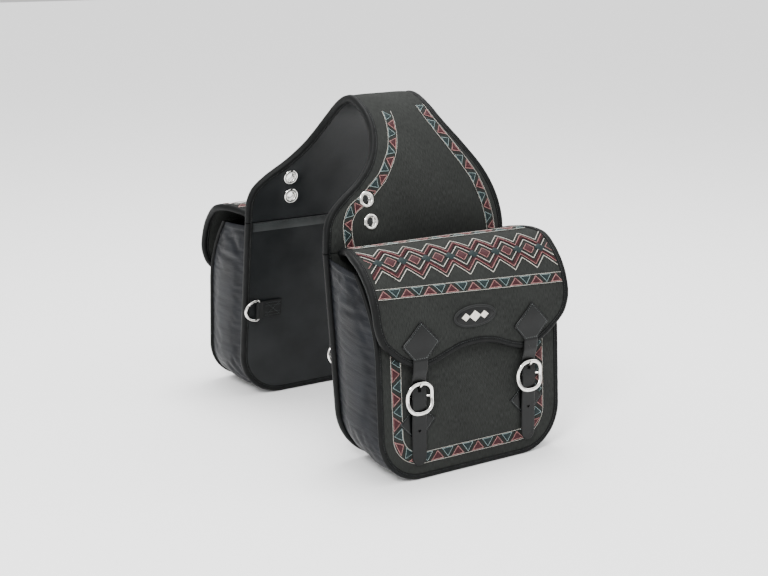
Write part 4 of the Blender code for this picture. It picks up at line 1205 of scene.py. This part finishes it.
def sew(name, works):
    """All needlework of one pocket or of the yoke, one piece a colour."""
    dyes = {
        "white": (WHITE_THREAD, 1.6, 0.52), "pink": (PINK_THREAD, 1.8, 0.52),
        "cyan": (CYAN_THREAD, 1.8, 0.56), "maroon": (MAROON_THREAD, 2.2, 0.85),
    }
    for dye, (finish, length, width) in dyes.items():
        lines = [line for work in works for line in work.lines.get(dye, [])]
        if lines:
            stitched(f"{name}_needlework_{dye}", lines, 1.8 * MM, length * MM, width * MM, finish)
    for dye, finish, low, high in (
        ("maroon", MAROON_SATIN, 0.0, 0.55), ("teal", TEAL_SATIN, 0.0, 0.55), ("teal_high", TEAL_SATIN, 0.2, 1.5),
    ):
        for n, work in enumerate(works):
            if dye in work.fields:
                foot, peak = work.rise + low * MM, work.rise + high * MM
                label = f"{name}_needlework_{dye}_fill_{n}"
                made = patches(label, work.place, work.fields[dye], foot, peak, finish)
                finished(made, "bag", "canvas")


# Metal


def round_ring(centre, first, second, wide, high, count=14):
    """One ring of a wire's section, in two directions square to its run."""
    turn = np.linspace(0, 2 * math.pi, count, endpoint=False)[:, None]
    return centre + wide * np.cos(turn) * first + high * np.sin(turn) * second


def wire(name, path, first, second, wide, high, finish, closed=False):
    """A wire along a path. The two directions of its section hold for every point, or are given for each."""
    first, second = (np.broadcast_to(way, np.shape(path)) for way in (first, second))
    rings = [round_ring(p, u, v, wide, high) for p, u, v in zip(path, first, second)]
    return ring_mesh(name, rings, finish, closed)


def build_buckle(pocket, side, hand, x):
    """An oval frame bowed forward from its bar, and a flat tongue curled round the bar."""
    bar = np.array([x, side * BAR_AWAY, FOLD - BUCKLE_DROP])
    wide, high, wire_wide, wire_deep = 0.0180, 0.0190, 0.0025, 0.0017
    turn = np.linspace(0, 2 * math.pi, 120, endpoint=False)
    c, s = np.cos(turn), np.sin(turn)
    u, v = np.copysign(np.abs(c) ** 0.8, c), np.copysign(np.abs(s) ** 0.8, s)
    rise = np.sin(math.pi / 2 * np.minimum(1.0, np.abs(v) / 0.85)) ** 2
    px, pz = wide * u, high * v
    forward = 0.0052 + 0.0025 * rise - FRONT_SLOPE * pz
    path = bar + np.column_stack([px, side * forward, pz])
    spoke = np.column_stack([c, np.zeros(120), s])
    frame_part = wire(f"{pocket}_{hand}_oval", path, spoke, (0.0, side, 0.0), wire_wide, wire_deep, NICKEL, closed=True)
    reach = np.linspace(-wide, wide, 33)
    dip = side * 0.0052 * np.clip((np.abs(reach) - 0.0118) / 0.0052, 0, 1) ** 1.5
    rod = bar + np.column_stack([reach, dip, np.zeros(33)])
    rod_part = wire(f"{pocket}_{hand}_bar", rod, (0.0, 1.0, 0.0), (0.0, 0.0, 1.0), 0.0015, 0.0015, NICKEL)
    made = join(f"{pocket}_{hand}_buckle", [frame_part, rod_part])
    finished(made, f"{pocket}_{hand}_buckle", "nickel", f"{pocket}_buckle_{hand}_frame")
    thick = 0.6 * MM
    turn = np.radians(20 - 290 * np.linspace(0, 1, 30))
    curl = 0.0016 + 0.0003 + thick
    points = list(zip(curl * np.cos(turn), curl * np.sin(turn)))
    top, front = 0.0190, 0.0077 + 0.0017 + 0.0003 + thick
    knots = (
        (-0.0008, 0.0040), (0.0, 0.0070), (0.0012, 0.0098), (0.0042, 0.0122), (0.0082, 0.0148),
        (front, top - 0.0014), (front + 0.0002, top + 0.0012),
    )
    shank = smooth_path([(dy - FRONT_SLOPE * dz, dz) for dy, dz in knots], 60)
    points = even_path(np.concatenate([points, shank]), 110)
    run = heading(points)
    path = bar + np.column_stack([np.zeros(len(points)), side * points[:, 0], points[:, 1]])
    lift = np.column_stack([np.zeros(len(points)), -side * run[:, 1], run[:, 0]])
    half = 1.55 * MM * np.clip(0.55 + (110 - np.arange(110)) / 12, 0, 1)
    rings = [round_ring(p, np.array([1.0, 0.0, 0.0]), v, h, thick * 0.95) for p, v, h in zip(path, lift, half)]
    tongue = ring_mesh(f"{pocket}_{hand}_prong", rings, NICKEL)
    finished(tongue, f"{pocket}_{hand}_prong", "nickel", f"{pocket}_tongue_{hand}")


def build_ring(pocket, side):
    """A D-ring whose straight bar lies in its tab."""
    wire_radius, half, bow = 0.0019, 0.015, 0.018
    on_back, _, _ = pocket_surfaces(side)
    lift = -0.0091
    flat = [(0.0, z) for z in np.linspace(-half + 0.0016, half - 0.0016, 14)]
    turn = np.radians(90 + 180 * np.linspace(0, 1, 60))
    flat += list(zip(-0.002 + bow * np.cos(turn), half * np.sin(turn)))
    flat = np.array(flat)
    run = np.roll(flat, -1, axis=0) - np.roll(flat, 1, axis=0)
    run /= np.linalg.norm(run, axis=1)[:, None]
    path = on_back(RING_BAR_X + flat[:, 0], RING_BAR_Z + flat[:, 1], lift)
    first = np.column_stack([run[:, 1], np.zeros(len(run)), -run[:, 0]])
    made = wire(pocket + "_ring_wire", path, first, (0.0, side, 0.0), wire_radius, wire_radius, NICKEL, closed=True)
    finished(made, pocket + "_ring", "nickel", pocket + "_d_ring")


def build_tab(pocket, side):
    """Webbing folded over the ring's bar and sewn flat with a crossed box."""
    on_back, _, _ = pocket_surfaces(side)
    turn = np.radians(np.linspace(-90, -300, 50))
    curl = np.array([RING_BAR_X, 9.1 * MM]) + 3.0 * MM * np.column_stack([np.cos(turn), np.sin(turn)])
    under = [(x, 6.1 * MM) for x in np.linspace(-0.0808, -0.1185, 20)]
    knots = [
        curl[-1], (-0.1145, 9.9 * MM), (-0.1120, 8.4 * MM), (-0.1095, 8.0 * MM), (-0.0960, 7.9 * MM),
        (-0.0822, 7.9 * MM),
    ]
    over = smooth_path(knots, 40)
    section = Section(np.concatenate([under, curl, over[1:]]))
    rows = np.linspace(0, section.length, 170)
    even = np.linspace(-1, 1, 25)
    a, b = np.meshgrid(12.5 * MM * (0.5 * even + 0.5 * np.sin(even * math.pi / 2)), rows)
    rim = 12.5 * MM - np.abs(a)
    worn = 0.25 * MM * np.exp(-rim / (0.4 * MM))

    def place(a, b, offset):
        x, away = section(b, offset)
        return on_back(x, RING_BAR_Z + a, -away)

    tab = sheet_mesh(pocket + "_ring_tab", place, a, b, -0.78 * MM + worn, 0.78 * MM - worn, WEBBING)
    finished(tab, "bag", "webbing", pocket + "_d_ring_tab")


def build_grommets(pocket, side):
    """Rolled grommets: a round flange on the canvas and a washer on the lining."""
    for (x, height), level in zip(TIE_HOLES, ("upper", "lower")):
        along = float(arch_along(side, height))
        turn = np.linspace(0, 2 * math.pi, 60, endpoint=False)
        # radius and height over the sheet's middle, round the section of the rolled flange
        top, bottom = SHEET + 0.4 * MM, -SHEET - 0.4 * MM
        section = (
            (10.6, top), (10.2, top + 0.9 * MM), (8.8, top + 1.5 * MM), (7.2, top + 1.3 * MM),
            (6.2, top + 0.3 * MM), (6.0, 0.0), (6.2, bottom - 0.3 * MM), (7.2, bottom - 1.0 * MM),
            (8.8, bottom - 1.1 * MM), (10.2, bottom - 0.6 * MM), (10.6, bottom), (7.4, bottom + 0.2 * MM),
            (6.9, 0.0), (7.4, top - 0.2 * MM),
        )
        rings = []
        for t in turn:
            r, o = np.array(section).T
            rings.append(on_yoke(x + r * MM * math.cos(t), along + r * MM * math.sin(t), o))
        made = ring_mesh(f"{pocket}_{level}_eyelet", rings, NICKEL, closed=True)
        finished(made, "bag", "nickel", f"{pocket}_{level}_grommet", f"{pocket}_{level}_washer")


# Stage


def set_stage():
    data = bpy.data.cameras.new("camera")
    data.sensor_width, data.lens = 36.0, 62.66
    data.clip_start, data.clip_end = 0.05, 50.0
    camera = bpy.data.objects.new("camera", data)
    camera.location = (-0.94808, -1.54637, 0.66092)
    camera.rotation_mode = "QUATERNION"
    camera.rotation_quaternion = Vector((0.51270, 0.81950, -0.25606)).to_track_quat("-Z", "Y")
    bpy.context.scene.collection.objects.link(camera)
    bpy.context.scene.camera = camera
    world = bpy.data.worlds.new("studio")
    world.use_nodes = True
    tree, studio = world.node_tree, world.node_tree.nodes["Background"]
    way = node(tree, "ShaderNodeTexCoord").outputs["Generated"]
    split = node(tree, "ShaderNodeSeparateXYZ", links={"Vector": way})
    tree.links.new(ramp_between(tree, split.outputs["Z"], "#a8a8a8", "#ffffff", 0.05, 0.55), studio.inputs["Color"])
    studio.inputs["Strength"].default_value = 1.9
    bpy.context.scene.world = world
    for name, spot, size, power in (
        ("key", (-1.5, -1.3, 1.9), 0.8, 62.0), ("fill", (1.9, -1.1, 1.5), 1.0, 10.0),
        ("top", (0.2, 0.3, 2.4), 1.0, 56.0),
    ):
        light = bpy.data.lights.new(name, "AREA")
        light.shape, light.size, light.energy = "DISK", size, power
        lamp = bpy.data.objects.new(name, light)
        lamp.location = spot
        lamp.rotation_mode = "QUATERNION"
        lamp.rotation_quaternion = (Vector((0.0, 0.0, 0.2)) - Vector(spot)).to_track_quat("-Z", "Y")
        bpy.context.scene.collection.objects.link(lamp)
    mesh = bpy.data.meshes.new("floor")
    corners = [(12.0 * x, 12.0 * y, 0.0) for x, y in ((-1, -1), (1, -1), (1, 1), (-1, 1))]
    mesh.from_pydata(corners, [], [(0, 1, 2, 3)])
    floor_finish, _, shader = new_finish("plain studio floor", 0.9)
    shader.inputs["Base Color"].default_value = colour("#f4f4f4")
    mesh.materials.append(floor_finish)
    floor = bpy.data.objects.new("floor", mesh)
    floor.location.z = -0.0004
    bpy.context.scene.collection.objects.link(floor)


set_stage()
CANVAS = canvas_finish("charcoal polyester canvas", "#121312", "#292b29")
LINING = vinyl_finish("smooth black nylon lining", "#0e1011", "#181a1b", 0.36, 3.0 * MM, 0.08 * MM, 0.2)
GUSSET = vinyl_finish("grained black vinyl", "#0b0c0f", "#191b1f", 0.46, 1.3 * MM, 0.45 * MM, 0.10)
TAPE_CLOTH = tape_finish("black binding tape", "#050606", "#0c0d0d")
LEATHER = leather_finish("black strap leather", "#030404", "#080a0a", 0.30)
WEBBING = tape_finish("black nylon webbing", "#0e0f0f", "#181919")
PATCH = leather_finish("black badge leather", "#070808", "#0e0f0f", 0.42)
PATCH_THREAD = satin_finish("black satin stitch", "#0e0f0f", "#1f2020")
NICKEL = metal_finish("polished nickel")
WHITE_THREAD = thread_finish("off-white thread", "#cbc7bb", "#f1eee6")
PINK_THREAD = thread_finish("dusty pink thread", "#8f5a5b", "#bd8c88")
CYAN_THREAD = thread_finish("pale blue-green thread", "#7f9a9c", "#b0c6c5")
MAROON_THREAD = thread_finish("maroon thread", "#260a0f", "#43141c")
DARK_THREAD = thread_finish("charcoal sewing thread", "#2c2f2f", "#474b4a")
LINEN_THREAD = thread_finish("waxed grey linen thread", "#404544", "#666c6b")
MAROON_SATIN = satin_finish("maroon satin stitch", "#1e080b", "#3c131a")
TEAL_SATIN = satin_finish("dark teal satin stitch", "#081213", "#112224")
PALE_SATIN = satin_finish("off-white satin stitch", "#b9b5a8", "#ebe8de")
STITCHES = stitch_tree()
# A lighter, glossier copy of the lining vinyl for the turned hem and the fold cord: its paler colour is a painted
# highlight along the fold.
HEM_PAINTED_HIGHLIGHT = vinyl_finish("turned lining hem, painted lighter as a highlight", "#1c1e1e", "#303333", 0.36, 3.0 * MM, 0.08 * MM, 0.3)
SEAMS, LEATHER_SEAMS, TAB_SEAMS = [], [], []

build_yoke()
yoke_works = []
for pocket, side in SIDES:
    build_pocket(pocket, side)
    for hand, x in zip(HANDS, STRAP_X):
        build_strap(pocket, side, hand, x)
        build_buckle(pocket, side, hand, x)
    build_badge(pocket, side)
    build_ring(pocket, side)
    build_tab(pocket, side)
    build_grommets(pocket, side)
    _, on_front, on_flap = pocket_surfaces(side)
    flap_work = Needlework(on_flap, 1.5 * MM)
    draw_flap(flap_work)
    front_work = Needlework(on_front, 2.0 * MM)
    draw_front(front_work)
    sew(pocket, [flap_work, front_work])
    yoke_work = Needlework(on_yoke, SHEET + 2.3 * MM, [(x, float(arch_along(side, h))) for x, h in TIE_HOLES])
    draw_yoke(yoke_work, side)
    yoke_works.append(yoke_work)
sew("yoke", yoke_works)
stitched("binding_seams", SEAMS, 3.2 * MM, 2.5 * MM, 0.5 * MM, DARK_THREAD, "binding_tape")
stitched("leather_seams", LEATHER_SEAMS, 3.0 * MM, 2.3 * MM, 0.55 * MM, LINEN_THREAD, "leather")
stitched("tab_seams", TAB_SEAMS, 2.6 * MM, 2.0 * MM, 0.5 * MM, DARK_THREAD, "webbing")
